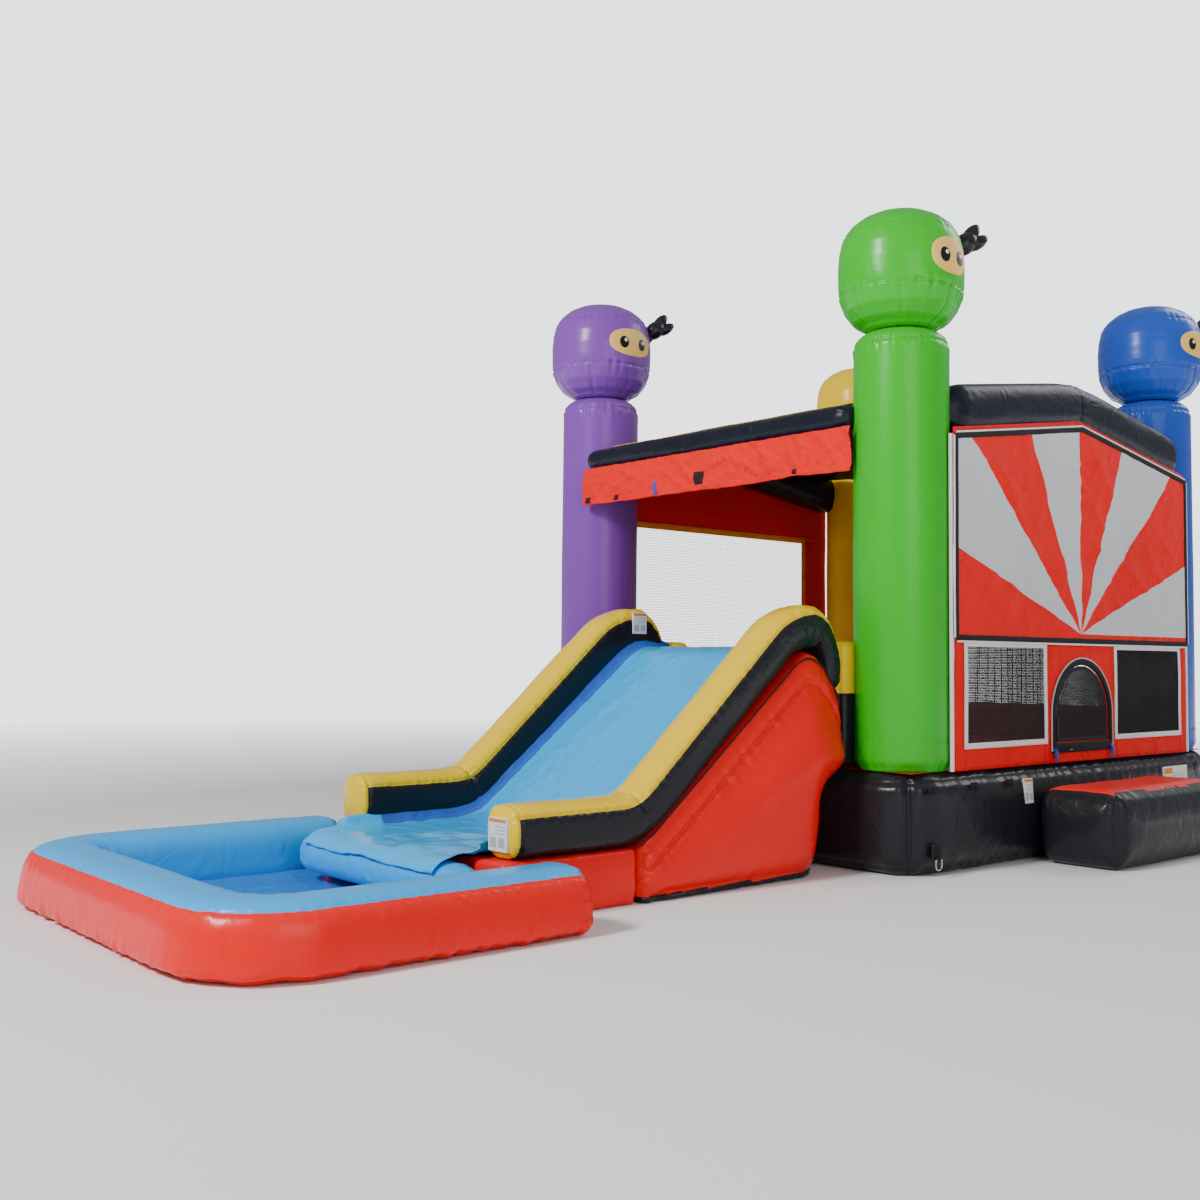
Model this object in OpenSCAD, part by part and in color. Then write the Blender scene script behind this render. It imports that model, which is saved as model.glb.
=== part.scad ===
// Side-slide inflatable bounce house with a splash pool. Millimetres, +Z up.
// The entrance faces +X and the slide and pool run out along -Y.

/* [Castle] */
// Distance between pillar centres across the entrance, along Y
pillar_gap_y = 3340; // [2800:10:4000]
// Distance between pillar centres away from the entrance, along X
pillar_gap_x = 3100; // [2600:10:3800]
// Radius of an inflated corner pillar
pillar_r = 310; // [240:5:380]
// Height of the neck where a hooded head meets its pillar
neck_z = 3478; // [3000:1:4000]
// Largest radius of a hooded head
head_r = 407; // [320:1:480]

/* [Base] */
// Base size along X at the bulge
base_x = 3860; // [3400:10:4600]
// Base size along Y at the bulge
base_y = 4120; // [3600:10:4800]
// Height of the inflated base
base_h = 630; // [450:5:750]
// Radius of the upright corners of the base
base_corner = 200; // [80:5:300]
// Thickness that stands for an inflated skin
skin = 30; // [15:1:60]
// Thickness of the jump floor sheet
floor_t = 12; // [6:1:30]

/* [Roof] */
// Underside of the peaked beams at their ends
eave_z = 2785; // [2400:5:3100]
// Underside of the peaked beams at the ridge
apex_z = 3020; // [2700:5:3400]
// Top of the roof at the ridge
ridge_z = 3318; // [3000:1:3600]
// Fall of the roof per millimetre away from the ridge
roof_fall = 0.156; // [0.05:0.001:0.4]
// How far the roof cover reaches from the ridge
roof_reach = 1800; // [1500:10:1990]
// How far the peaked beams stand above the roof cover
beam_rise = 45; // [0:5:80]
// Underside of the straight beams
side_beam_z = 2830; // [2500:5:3100]
// Bottom of the red valance over the slide opening
valance_z = 2550; // [2300:5:2800]

/* [Walls] */
// Thickness of a fabric wall
wall_t = 18; // [8:1:40]
// Bottom of the banner panel
art_bottom_z = 1480; // [1200:5:1900]
// Centre of the arched doorway along Y
door_y = -20; // [-200:5:200]
// Radius of the doorway arch and half its width
door_r = 360; // [280:5:450]
// Place of the flap's piping cord
hinge_x = 1890.5; // [1888:0.5:1895]
hinge_y = -378; // [-385:0.5:-370]
// Radius of the flap's piping cord
hinge_cord = 4; // [3:0.5:5]
// Height of the doorway threshold
door_sill_z = 770; // [680:5:900]
// Height where the doorway arch springs
door_spring_z = 950; // [850:5:1200]
// Bottom of the entrance windows
window_low_z = 790; // [700:5:900]
// Top of the entrance windows
window_high_z = 1440; // [1200:5:1600]

/* [Slide] */
// Centre line of the slide and pool along X
slide_x = 430; // [-200:5:600]
// Half width of the slide blocks
slide_half = 970; // [700:5:1200]
// Distance from the centre line to the middle of a rail
rail_off = 830; // [600:5:1000]
// Width of a rail
rail_w = 276; // [180:2:340]
// Height of the low block at the foot of the slide
foot_h = 300; // [200:5:400]
// Height of the slide at its crest
crest_z = 1400; // [1000:5:1800]

/* [Pool] */
// Half width of the pool
pool_half = 1470; // [1100:5:1800]
// Distance of the pool's far end from the castle centre
pool_end = 6390; // [5600:10:7200]
// Distance of the pool's open end from the castle centre
pool_open = 4460; // [4200:10:5200]
// Thickness of a pool wall chamber
pool_wall_w = 460; // [300:5:600]
// Height of a pool wall chamber
pool_wall_h = 330; // [250:5:500]

/* [Step] */
// Distance of the step's front face from the castle centre
step_front = 2580; // [2300:10:2900]
// Height of the entrance step
step_h = 500; // [300:5:600]

/* [Fittings] */
// Bore radius of the blower sleeve
sleeve_r = 125; // [90:1:160]
// Length of the blower sleeve
sleeve_len = 400; // [200:10:700]
// Radius of the wire of an anchor ring
ring_wire = 4; // [3:0.5:6]
// Height of an anchor ring's bar
ring_z = 112; // [90:1:200]

/* [Hidden] */
$fn = 48;
px = pillar_gap_x / 2;
py = pillar_gap_y / 2;
bx = base_x / 2;
by = base_y / 2;
face_x = px + pillar_r + 2;
face_y = py + pillar_r + 2;
ring_x = bx + 12;
house_x = -(step_front - (px + head_r)) / 2;
house_y = (pool_end - (by + sleeve_len)) / 2;
corners = [[px, -py], [-px, -py], [px, py], [-px, py]];
ring_y = 1820;
pool_corner = 560;

// Moves the castle so that the origin is under the middle of the whole object.
module house() {
    translate([house_x, house_y, 0]) children();
}

// A box given by its low and high corners.
module span(lo, hi) {
    translate(lo) cube(hi - lo);
}

// A box with rounded upright corners.
module slab(x, y, z0, z1, r) {
    span([-x + r, -y, z0], [x - r, y, z1]);
    span([-x, -y + r, z0], [x, y - r, z1]);
    for (sx = [-1, 1], sy = [-1, 1])
        translate([sx * (x - r), sy * (y - r), z0]) cylinder(r = r, h = z1 - z0);
}

// A plate in a plane of constant X, from an outline in Y and Z.
module plate_x(x0, x1) {
    translate([x0, 0, 0]) rotate([90, 0, 90]) linear_extrude(height = x1 - x0) children();
}

// The room that the four pillars take, used to trim their neighbours.
module pillar_room(gap) {
    for (c = corners)
        translate([c[0], c[1], 0]) cylinder(r = pillar_r + gap, h = 5000);
}

// ---- base ----

// Black inflated base: a skin around an air space.
module base_shell() {
    color("#17181c") house() difference() {
        slab(bx, by, 0, base_h, base_corner);
        slab(bx - skin, by - skin, skin, base_h - skin, base_corner - skin);
    }
}

// Inner webs that hold the base flat.
module base_baffles() {
    color("#3a3c42") house()
        for (x = [-1400, -700, 0, 700, 1400])
            span([x - 6, -1800, skin + 0.5], [x + 6, 1800, base_h - skin - 0.5]);
}

// Red jump floor sheet.
module jump_floor() {
    color("#d8352a") house() difference() {
        span([-px - 280, -py - 300, base_h], [px + 280, py + 300, base_h + floor_t]);
        pillar_room(2);
    }
}

// ---- pillars and heads ----

module pillar(c) {
    outer = [[0, base_h], [280, base_h], [300, base_h + 14], [pillar_r, base_h + 60],
        [pillar_r, neck_z - 160], [303, neck_z - 105], [284, neck_z - 60], [255, neck_z - 25],
        [215, neck_z - 0.5], [0, neck_z - 0.5]];
    inner = [[-1, base_h + skin], [268, base_h + skin], [pillar_r - skin, base_h + 70],
        [pillar_r - skin, neck_z - 160], [262, neck_z - 85], [215, neck_z - 48], [-1, neck_z - 40]];
    house() translate([c[0], c[1], 0]) rotate_extrude() difference() {
        polygon(outer);
        polygon(inner);
    }
}

module pillar_green() { color("#4db848") pillar(corners[0]); }
module pillar_purple() { color("#7e5ba6") pillar(corners[1]); }
module pillar_blue() { color("#3f66b0") pillar(corners[2]); }
module pillar_yellow() { color("#ffd91a") pillar(corners[3]); }

// Outline of a head, grown outward by g.
function head_outline(g) = [[0, neck_z - g], [212, neck_z - g], [232 + g, neck_z + 14], [306 + g, neck_z + 66],
    [368 + g, neck_z + 142], [head_r - 6 + g, neck_z + 232], [head_r + g, neck_z + 300], [head_r - 4 + g, neck_z + 400],
    [head_r - 14 + g, neck_z + 500], [365 + g, neck_z + 602], [312 + g, neck_z + 690], [222 + g, neck_z + 762],
    [112, neck_z + 801 + g], [0, neck_z + 811 + g]];
head_void = [[-1, neck_z + 32], [200, neck_z + 34], [286, neck_z + 92], [340, neck_z + 160], [head_r - 34, neck_z + 240],
    [head_r - 31, neck_z + 300], [head_r - 35, neck_z + 400], [head_r - 46, neck_z + 496], [330, neck_z + 586],
    [290, neck_z + 660], [206, neck_z + 728], [100, neck_z + 768], [-1, neck_z + 778]];

module head(c) {
    house() translate([c[0], c[1], 0]) rotate_extrude() difference() {
        polygon(head_outline(0));
        polygon(head_void);
    }
}

module head_green() { color("#4db848") head(corners[0]); }
module head_purple() { color("#7e5ba6") head(corners[1]); }
module head_blue() { color("#3f66b0") head(corners[2]); }
module head_yellow() { color("#ffd91a") head(corners[3]); }

// Black forked tails of the hood knots, one on each head.
module hood_tails() {
    color("#101114") house() for (c = corners)
        translate([c[0], c[1], 0]) difference() {
            translate([0, 0, neck_z + 556]) rotate([0, 0, 60]) {
                translate([378, 0, 0]) sphere(r = 40);
                translate([378, 0, 0]) rotate([0, 58, 0]) cylinder(r1 = 36, r2 = 46, h = 130);
                translate([378, 0, 0]) rotate([0, 58, 0]) translate([-14, 0, 130]) rotate([0, -18, 0]) cylinder(r1 = 42, r2 = 10, h = 110);
                translate([378, 0, 0]) rotate([0, 58, 0]) translate([16, 0, 130]) rotate([0, 22, 0]) cylinder(r1 = 30, r2 = 8, h = 70);
            }
            rotate_extrude() polygon(head_outline(0.5));
        }
}

// Tan eye patches, lying on the heads and facing the entrance side.
module eye_patches() {
    color("#e8c068") house() for (c = corners)
        translate([c[0], c[1], 0]) intersection() {
            rotate_extrude() difference() {
                polygon(head_outline(4));
                polygon(head_outline(0.5));
            }
            union() {
                for (s = [-1, 1])
                    translate([100, s * 92, neck_z + 405]) rotate([0, 90, 0]) cylinder(r = 122, h = 400);
                span([100, -92, neck_z + 290], [500, 92, neck_z + 520]);
            }
        }
}

// ---- roof ----

// Cross-section of a peaked beam: two sloping bars that meet at the ridge.
module peak_outline(half) {
    end_z = ridge_z + beam_rise - roof_fall * half;
    polygon([[-half, end_z], [0, ridge_z + beam_rise], [half, end_z],
        [half, eave_z], [0, apex_z], [-half, eave_z]]);
}

module peak_beam(x0, x1) {
    house() difference() {
        plate_x(x0, x1) peak_outline(1560);
        pillar_room(1);
    }
}

module beam_entrance() { color("#1a1d2e") peak_beam(face_x - 270, face_x + wall_t + 8); }
module beam_rear() { color("#1a1d2e") peak_beam(-face_x - wall_t - 8, -face_x + 270); }

// Top of the roof above a given distance from the ridge.
function roof_z(y) = ridge_z - roof_fall * abs(y);

module side_beam(y0, y1) {
    half = face_x - 275;
    house() difference() {
        span([-half, y0, side_beam_z], [half, y1, roof_z(face_y) - 2]);
        pillar_room(1);
    }
}

module beam_slide() { color("#1a1d2e") side_beam(-face_y - 18, -face_y + 240); }
module beam_back() { color("#1a1d2e") side_beam(face_y - 240, face_y + 18); }

// Section of a roof panel that reaches a given distance from the ridge.
module roof_outline(s, reach) {
    polygon([[0, ridge_z + 1], [s * reach, roof_z(reach) + 1], [s * reach, roof_z(reach) + 11], [0, ridge_z + 11]]);
}

// Roof cover: one sloping fabric panel on each side of the ridge.
module roof_panel(s) {
    house() difference() {
        plate_x(-face_x + 275, face_x - 275) roof_outline(s, roof_reach);
        pillar_room(3);
    }
}

module roof_panel_slide() { color("#20243a") roof_panel(-1); }
module roof_panel_back() { color("#20243a") roof_panel(1); }

// ---- entrance side ----

module arch(r, low) {
    translate([door_y - r, low]) square([2 * r, door_spring_z - low]);
    intersection() {
        translate([door_y, door_spring_z]) circle(r = r);
        translate([door_y - r, door_spring_z - 1]) square([2 * r, r + 1]);
    }
}

// Corners of the two entrance windows, in Y.
windows = [[-1430, -500], [455, 1430]];

module entrance_wall() {
    color("#e83a2a") house() plate_x(face_x, face_x + wall_t) difference() {
        polygon([[-1550, base_h], [1550, base_h], [1550, eave_z - 2], [0, apex_z - 2], [-1550, eave_z - 2]]);
        for (w = windows)
            translate([w[0], window_low_z]) square([w[1] - w[0], window_high_z - window_low_z]);
        arch(door_r, door_sill_z);
    }
}

// Removable banner with a black hook-and-loop edge.
module art_panel() {
    color("#f2f0ee") house() plate_x(face_x + wall_t + 0.4, face_x + wall_t + 8)
        polygon([[-1545, art_bottom_z], [1545, art_bottom_z], [1545, eave_z - 14], [0, apex_z - 14], [-1545, eave_z - 14]]);
}

module window_meshes() {
    color("#26272b") house() for (w = windows)
        span([face_x + 6, w[0], window_low_z], [face_x + 12, w[1], window_high_z]);
}

module window_trims() {
    color("#f0f0f0") house() plate_x(face_x + wall_t, face_x + wall_t + 5) for (w = windows) difference() {
        translate([w[0] - 24, window_low_z - 24]) square([w[1] - w[0] + 48, window_high_z - window_low_z + 48]);
        translate([w[0] + 14, window_low_z + 14]) square([w[1] - w[0] - 28, window_high_z - window_low_z - 28]);
    }
}

module door_trim() {
    color("#121316") house() plate_x(face_x + wall_t, face_x + wall_t + 6) difference() {
        arch(door_r + 44, door_sill_z - 70);
        arch(door_r, door_sill_z);
    }
    color("#121316") house() for (z = [800, 880]) hinge_hem(z, 40);
}

// Piece of open hem that holds the flap's piping cord on the left of the doorway.
module hinge_hem(z, tall) {
    translate([hinge_x, hinge_y, z]) difference() {
        cylinder(r = 6.6, h = tall);
        translate([0, 0, -1]) cylinder(r = hinge_cord + 0.15, h = tall + 2);
        translate([0, 0, -1]) linear_extrude(height = tall + 2)
            polygon([[0, 0], [8.66, 5], [6, 12], [-12, 12], [-11.8, -2.3]]);
    }
}

// Mesh flap that closes the doorway and swings on a piping cord at its left edge.
module door_flap() {
    color("#2a2b30") house() {
        plate_x(face_x + 5, face_x + 12) arch(door_r - 5, door_sill_z + 5);
        plate_x(face_x + 5, face_x + 12) translate([hinge_y, door_sill_z + 12]) square([8, 166]);
        span([face_x + 8, hinge_y - 0.5, door_sill_z + 12], [hinge_x - 2, hinge_y + 2.5, door_sill_z + 178]);
        translate([hinge_x, hinge_y, door_sill_z + 12]) cylinder(r = hinge_cord, h = 166);
    }
}

// Two blue straps with buckles at the doorway threshold.
module door_straps() {
    color("#2f56c8") house() for (y = [door_y - door_r - 20, door_y + door_r + 20]) {
        span([face_x + wall_t + 6, y - 13, base_h + 12], [face_x + wall_t + 9, y + 13, door_sill_z + 4]);
        span([face_x + wall_t + 9, y - 17, base_h + 40], [face_x + wall_t + 19, y + 17, base_h + 92]);
    }
}

// ---- other walls ----

module rear_wall() {
    color("#e83a2a") house() plate_x(-face_x - wall_t, -face_x) difference() {
        polygon([[-1550, base_h], [1550, base_h], [1550, eave_z - 2], [0, apex_z - 2], [-1550, eave_z - 2]]);
        translate([-1200, 930]) square([2400, 1590]);
    }
}

module rear_mesh() {
    color("#26272b") house() span([-face_x - 12, -1200, 930], [-face_x - 6, 1200, 2520]);
}

module back_wall() {
    color("#e83a2a") house() difference() {
        span([-1430, face_y, base_h], [1430, face_y + wall_t, side_beam_z - 2]);
        span([-1050, face_y - 5, 930], [1050, face_y + wall_t + 5, 2480]);
    }
}

module back_mesh() {
    color("#26272b") house() span([-1050, face_y + 6, 930], [1050, face_y + 12, 2480]);
}

// Orange-yellow binding around the two large mesh windows, on the inside.
module mesh_trims() {
    color("#f5a51e") house() {
        plate_x(-face_x, -face_x + 5) difference() {
            translate([-1230, 900]) square([2460, 1650]);
            translate([-1180, 950]) square([2360, 1550]);
        }
        difference() {
            span([-1080, face_y - 5, 900], [1080, face_y, 2510]);
            span([-1030, face_y - 9, 950], [1030, face_y + 4, 2460]);
        }
    }
}

module valance() {
    color("#e83a2a") house() span([-1345, -face_y - 18, valance_z], [1330, -face_y - 6, side_beam_z - 1]);
}

// Black hook-and-loop tabs and the blue tie strap on the valance.
module valance_tabs() {
    color("#121316") house() {
        span([-55, -face_y - 21, valance_z + 60], [35, -face_y - 18.2, valance_z + 150]);
        span([-1300, -face_y - 21, valance_z + 20], [-1240, -face_y - 18.2, valance_z + 60]);
        span([-980, -face_y - 21, valance_z + 20], [-930, -face_y - 18.2, valance_z + 60]);
        span([-480, -face_y - 21, valance_z + 30], [-450, -face_y - 18.2, valance_z + 130]);
    }
}

// ---- entrance step ----

module step_block() {
    color("#17181c") house() translate([(step_front + bx + 2) / 2, -20, 0]) difference() {
        slab((step_front - bx - 2) / 2, 770, 0, step_h, 70);
        slab((step_front - bx - 2) / 2 - skin, 770 - skin, skin, step_h - skin, 40);
    }
}

module step_top() {
    color("#d8352a") house() span([bx + 50, -690, step_h], [step_front - 190, 640, step_h + 6]);
}

// ---- slide ----

// A plate in a plane of constant X, placed about the slide's centre line.
module slide_plate(u0, u1) {
    plate_x(slide_x + u0, slide_x + u1) children();
}

module slide_ramp_block() {
    color("#e83a2a") house() difference() {
        slide_plate(-slide_half, slide_half)
            polygon([[-3760, 0], [-by - 3, 0], [-by - 3, crest_z - 45], [-by - 60, crest_z - 8], [-2300, crest_z],
                [-2400, crest_z - 25], [-2480, crest_z - 80], [-3760, foot_h]]);
        slide_plate(-slide_half + skin, slide_half - skin) polygon([[-3660, skin], [-by - 3 - skin, skin], [-by - 3 - skin, crest_z - 70], [-2310, crest_z - 40],
            [-2460, crest_z - 115], [-3660, foot_h + 30]]);
    }
}

module slide_foot_block() {
    color("#e83a2a") house() span([slide_x - slide_half, -4660, 0], [slide_x + slide_half, -3761, foot_h]);
}

// Outline of a rail from its end cap, up the slope, over the crest and down behind.
module rail_outline() {
    polygon([[-4610, foot_h + 2], [-4610, foot_h + 215], [-4580, foot_h + 252], [-4520, foot_h + 268], [-3770, foot_h + 268],
        [-3700, foot_h + 300], [-2560, crest_z + 236], [-2470, crest_z + 282], [-2360, crest_z + 294], [-2240, crest_z + 282],
        [-2130, crest_z + 230], [-2064, crest_z + 120], [-2064, crest_z - 44], [-by - 60, crest_z - 6], [-2300, crest_z + 2],
        [-2401, crest_z - 22], [-2482, crest_z - 77], [-3762, foot_h + 3]]);
}

module slide_rail_near() {
    color("#ffe81a") house() slide_plate(rail_off - rail_w / 2, rail_off + rail_w / 2) rail_outline();
}

module slide_rail_far() {
    color("#ffe81a") house() slide_plate(-rail_off - rail_w / 2, -rail_off + rail_w / 2) rail_outline();
}

// Loose blue vinyl sheet on the slope and the foot, between the rails.
module slide_lane() {
    lane = rail_off - rail_w / 2 - 2;
    color("#56b9ea") house() slide_plate(-lane, lane)
        polygon([[-4658, foot_h + 1], [-4658, foot_h + 9], [-3768, foot_h + 11], [-2487, crest_z - 69], [-2405, crest_z - 14],
            [-2300, crest_z + 10], [-by - 60, crest_z + 2], [-2068, crest_z - 34], [-2068, crest_z - 40], [-by - 60, crest_z - 6],
            [-2300, crest_z + 2], [-2401, crest_z - 22], [-2482, crest_z - 77], [-3764, foot_h + 3]]);
}

// Rounded blue pad where the lane runs into the pool.
module landing_pad() {
    color("#56b9ea") house() {
        span([slide_x - 640, -4790, 70], [slide_x + 640, -4662, 290]);
        translate([slide_x - 640, -4790, 180]) rotate([0, 90, 0]) cylinder(r = 110, h = 1280);
    }
}

// Yellow and black guards behind the rails, at both sides of the slide opening.
module opening_posts() {
    color("#ffe81a") house() difference() {
        for (s = [-1, 1])
            span([slide_x + s * rail_off - 128, -2054, base_h + floor_t + 1], [slide_x + s * rail_off + 128, -1800, crest_z + 60]);
        pillar_room(2);
    }
}

// Padded ramp inside the castle, from the jump floor up to the slide.
module climb_ramp() {
    color("#d8352a") house() difference() {
        slide_plate(-690, 690)
            polygon([[-2054, base_h + floor_t + 0.5], [-2054, crest_z - 20], [-1620, crest_z - 20], [-880, base_h + 190],
                [-800, base_h + floor_t + 0.5]]);
        rungs(0.5);
    }
}

// The three rungs across the climbing ramp, grown by g.
module rungs(g) {
    for (k = [0, 1, 2])
        translate([slide_x - 600 - g, -1480 + 215 * k, crest_z - 81 - 163 * k])
            rotate([0, 90, 0]) cylinder(r = 44 + g, h = 1200 + 2 * g);
}

// Soft rungs across the climbing ramp.
module climb_steps() {
    color("#f5a51e") house() rungs(0);
}

// ---- pool ----

module pool_side(s) {
    x0 = slide_x + s * pool_half;
    x1 = slide_x + s * (pool_half - pool_wall_w);
    lo = min(x0, x1);
    hi = max(x0, x1);
    house() {
        span([lo, -pool_end + pool_corner + 1, 0], [hi, -pool_open, pool_wall_h - 60]);
        span([lo + 50, -pool_end + pool_corner + 1, 0], [hi - 50, -pool_open, pool_wall_h]);
    }
}

module pool_wall_near() { color("#e83a2a") pool_side(1); }
module pool_wall_far() { color("#e83a2a") pool_side(-1); }

// Outline of the pool's rounded end, drawn in by g.
module pool_end_outline(g) {
    intersection() {
        union() {
            for (s = [-1, 1]) translate([slide_x + s * (pool_half - pool_corner), -pool_end + pool_corner])
                circle(r = pool_corner - g);
            translate([slide_x - pool_half + pool_corner, -pool_end + g]) square([2 * (pool_half - pool_corner), pool_corner - g]);
        }
        translate([slide_x - pool_half, -pool_end]) square([2 * pool_half, pool_corner]);
    }
}

// Outline of the water space at the pool's end, grown by g.
module pool_bay_outline(g) {
    w = pool_half - pool_wall_w + g;
    translate([slide_x - w + 120, -pool_end + pool_wall_w - g]) square([2 * w - 240, 900]);
    translate([slide_x - w, -pool_end + pool_wall_w - g + 120]) square([2 * w, 900]);
    for (s = [-1, 1]) translate([slide_x + s * (w - 120), -pool_end + pool_wall_w - g + 120]) circle(r = 120);
}

// End chamber of the pool with its two rounded corners.
module pool_wall_end() {
    color("#e83a2a") house() {
        linear_extrude(height = pool_wall_h - 60) difference() {
            pool_end_outline(0);
            pool_bay_outline(0);
        }
        translate([0, 0, pool_wall_h - 60]) linear_extrude(height = 60) difference() {
            pool_end_outline(50);
            pool_bay_outline(50);
        }
    }
}

module pool_floor() {
    w = pool_half - pool_wall_w - 1;
    color("#2a6fc4") house() {
        span([slide_x - w, -pool_end + pool_wall_w + 121, 0], [slide_x + w, -4664, 40]);
        span([slide_x - w + 120, -pool_end + pool_wall_w + 1, 0], [slide_x + w - 120, -pool_end + pool_wall_w + 121, 40]);
    }
}

// ---- patches and fittings ----

// Plain patches where the real ones carry care notes.
module blank_patches() {
    color("#f4f4f2") house() {
        span([bx, -850, 430], [bx + 1.5, -745, 600]);
        span([bx, 1050, 360], [bx + 1.5, 1430, 560]);
        span([slide_x + rail_off - 90, -4611.5, foot_h + 20], [slide_x + rail_off + 90, -4610, foot_h + 210]);
        span([slide_x - rail_off + rail_w / 2, -2420, crest_z + 80], [slide_x - rail_off + rail_w / 2 + 1.5, -2300, crest_z + 240]);
    }
}

module webbing_patches() {
    color("#24262b") house() for (y = [-1857, -1415, -1020])
        span([bx, y - 30, 560], [bx + 3, y + 30, 610]);
}

// Stitched webbing that holds the anchor rings.
module anchor_loops() {
    color("#24262b") house() for (sx = [-1, 1], sy = [-1, 1]) {
        lo = sx > 0 ? bx : -bx - 3;
        span([lo, sy * ring_y - 35, ring_z + 10], [lo + 3, sy * ring_y + 35, ring_z + 90]);
        difference() {
            union() {
                translate([sx * ring_x, sy * ring_y - 18, ring_z]) rotate([-90, 0, 0]) cylinder(r = 7.5, h = 36);
                span([min(sx * bx, sx * (ring_x + 7.5)), sy * ring_y - 18, ring_z], [max(sx * bx, sx * (ring_x + 7.5)), sy * ring_y + 18, ring_z + 14]);
            }
            translate([sx * ring_x, sy * ring_y - 30, ring_z]) rotate([-90, 0, 0]) cylinder(r = ring_wire + 0.06, h = 60);
        }
    }
}

module anchor_ring(sx, sy) {
    color("#c9ccd1") house() translate([sx * ring_x, sy * ring_y, ring_z]) {
        translate([0, -30, 0]) rotate([-90, 0, 0]) cylinder(r = ring_wire, h = 60);
        for (s = [-1, 1]) {
            translate([0, s * 30, 0]) sphere(r = ring_wire);
            translate([0, s * 30, -30]) cylinder(r = ring_wire, h = 30);
        }
        intersection() {
            translate([0, 0, -30]) rotate([0, 90, 0]) rotate_extrude() translate([30, 0]) circle(r = ring_wire);
            span([-10, -50, -80], [10, 50, -30]);
        }
    }
}

module anchor_ring_a() { anchor_ring(1, -1); }
module anchor_ring_b() { anchor_ring(1, 1); }
module anchor_ring_c() { anchor_ring(-1, -1); }
module anchor_ring_d() { anchor_ring(-1, 1); }

// Fabric tube that a blower pushes into.
module blower_sleeve() {
    color("#17181c") house() translate([-1100, by, 320]) rotate([-90, 0, 0]) difference() {
        cylinder(r = sleeve_r + 6, h = sleeve_len, $fn = 96);
        translate([0, 0, -1]) cylinder(r = sleeve_r, h = sleeve_len + 2, $fn = 96);
    }
}

module sleeve_strap() {
    color("#2f56c8") house() translate([-1100, by + sleeve_len - 130, 320]) rotate([-90, 0, 0]) difference() {
        cylinder(r = sleeve_r + 9, h = 38, $fn = 96);
        translate([0, 0, -1]) cylinder(r = sleeve_r + 6, h = 40, $fn = 96);
    }
}

// Deflation zip on the back of the base, with its pull.
module zipper_track() {
    color("#101114") house() {
        span([200, by, 300], [1000, by + 3, 318]);
        span([200, by, 342], [1000, by + 3, 360]);
        span([200, by + 0.2, 318], [1000, by + 2, 342]);
    }
}

module zipper_slider() {
    color("#8b8f96") house() {
        span([230, by + 3.3, 316], [262, by + 12, 344]);
        span([240, by + 5, 286], [252, by + 10, 320]);
    }
}

base_shell();
base_baffles();
jump_floor();
pillar_green();
pillar_purple();
pillar_blue();
pillar_yellow();
head_green();
head_purple();
head_blue();
head_yellow();
hood_tails();
eye_patches();
beam_entrance();
beam_rear();
beam_slide();
beam_back();
roof_panel_slide();
roof_panel_back();
entrance_wall();
art_panel();
window_meshes();
window_trims();
door_trim();
door_flap();
door_straps();
rear_wall();
rear_mesh();
back_wall();
back_mesh();
mesh_trims();
valance();
valance_tabs();
step_block();
step_top();
slide_ramp_block();
slide_foot_block();
slide_rail_near();
slide_rail_far();
slide_lane();
landing_pad();
opening_posts();
climb_ramp();
climb_steps();
pool_wall_near();
pool_wall_far();
pool_wall_end();
pool_floor();
blank_patches();
webbing_patches();
anchor_loops();
anchor_ring_a();
anchor_ring_b();
anchor_ring_c();
anchor_ring_d();
blower_sleeve();
sleeve_strap();
zipper_track();
zipper_slider();
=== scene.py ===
"""Looks of a side-slide inflatable bounce house with a splash pool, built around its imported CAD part."""

import logging
from dataclasses import dataclass
from enum import Enum
from math import copysign, cos, exp, hypot, pi, radians, remainder, sin, sqrt, tau
from typing import Callable, Dict, List, Optional, Sequence, Tuple

import bmesh
import bpy
from mathutils import Matrix, Vector, noise


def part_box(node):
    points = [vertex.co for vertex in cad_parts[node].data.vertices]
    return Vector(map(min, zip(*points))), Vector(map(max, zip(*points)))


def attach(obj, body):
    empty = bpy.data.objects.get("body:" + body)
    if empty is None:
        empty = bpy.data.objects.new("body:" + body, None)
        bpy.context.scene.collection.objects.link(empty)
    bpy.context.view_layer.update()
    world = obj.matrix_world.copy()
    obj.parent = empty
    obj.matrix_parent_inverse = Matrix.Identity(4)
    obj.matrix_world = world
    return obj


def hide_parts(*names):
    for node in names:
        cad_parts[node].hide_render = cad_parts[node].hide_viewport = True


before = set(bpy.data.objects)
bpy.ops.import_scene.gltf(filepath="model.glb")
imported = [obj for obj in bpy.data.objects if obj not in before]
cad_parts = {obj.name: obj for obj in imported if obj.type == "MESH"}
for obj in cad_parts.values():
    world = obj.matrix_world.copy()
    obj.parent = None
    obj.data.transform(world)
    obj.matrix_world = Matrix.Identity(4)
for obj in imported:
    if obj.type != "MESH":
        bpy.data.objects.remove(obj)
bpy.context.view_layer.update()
LOG = logging.getLogger("castle")

RGB = Tuple[float, float, float]
Mesh, Face = bmesh.types.BMesh, bmesh.types.BMFace
Tree, Socket = bpy.types.NodeTree, bpy.types.NodeSocket
Place = Callable[[float, float], Vector]
Shift = Callable[[Vector], Vector]


def castle_centre() -> Vector:
    """The point on the ground under the middle of the castle's base, in the row frame."""
    low, high = (Vector(c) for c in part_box("base_shell"))
    return Vector(((low.x + high.x) / 2, (low.y + high.y) / 2, 0.0))


HOUSE = castle_centre()
FLOOR_TOP = 0.632
BAY_HALF = 1.56
PATH_STEP = 0.02


# ---------------------------------------------------------------- finishes


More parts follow.
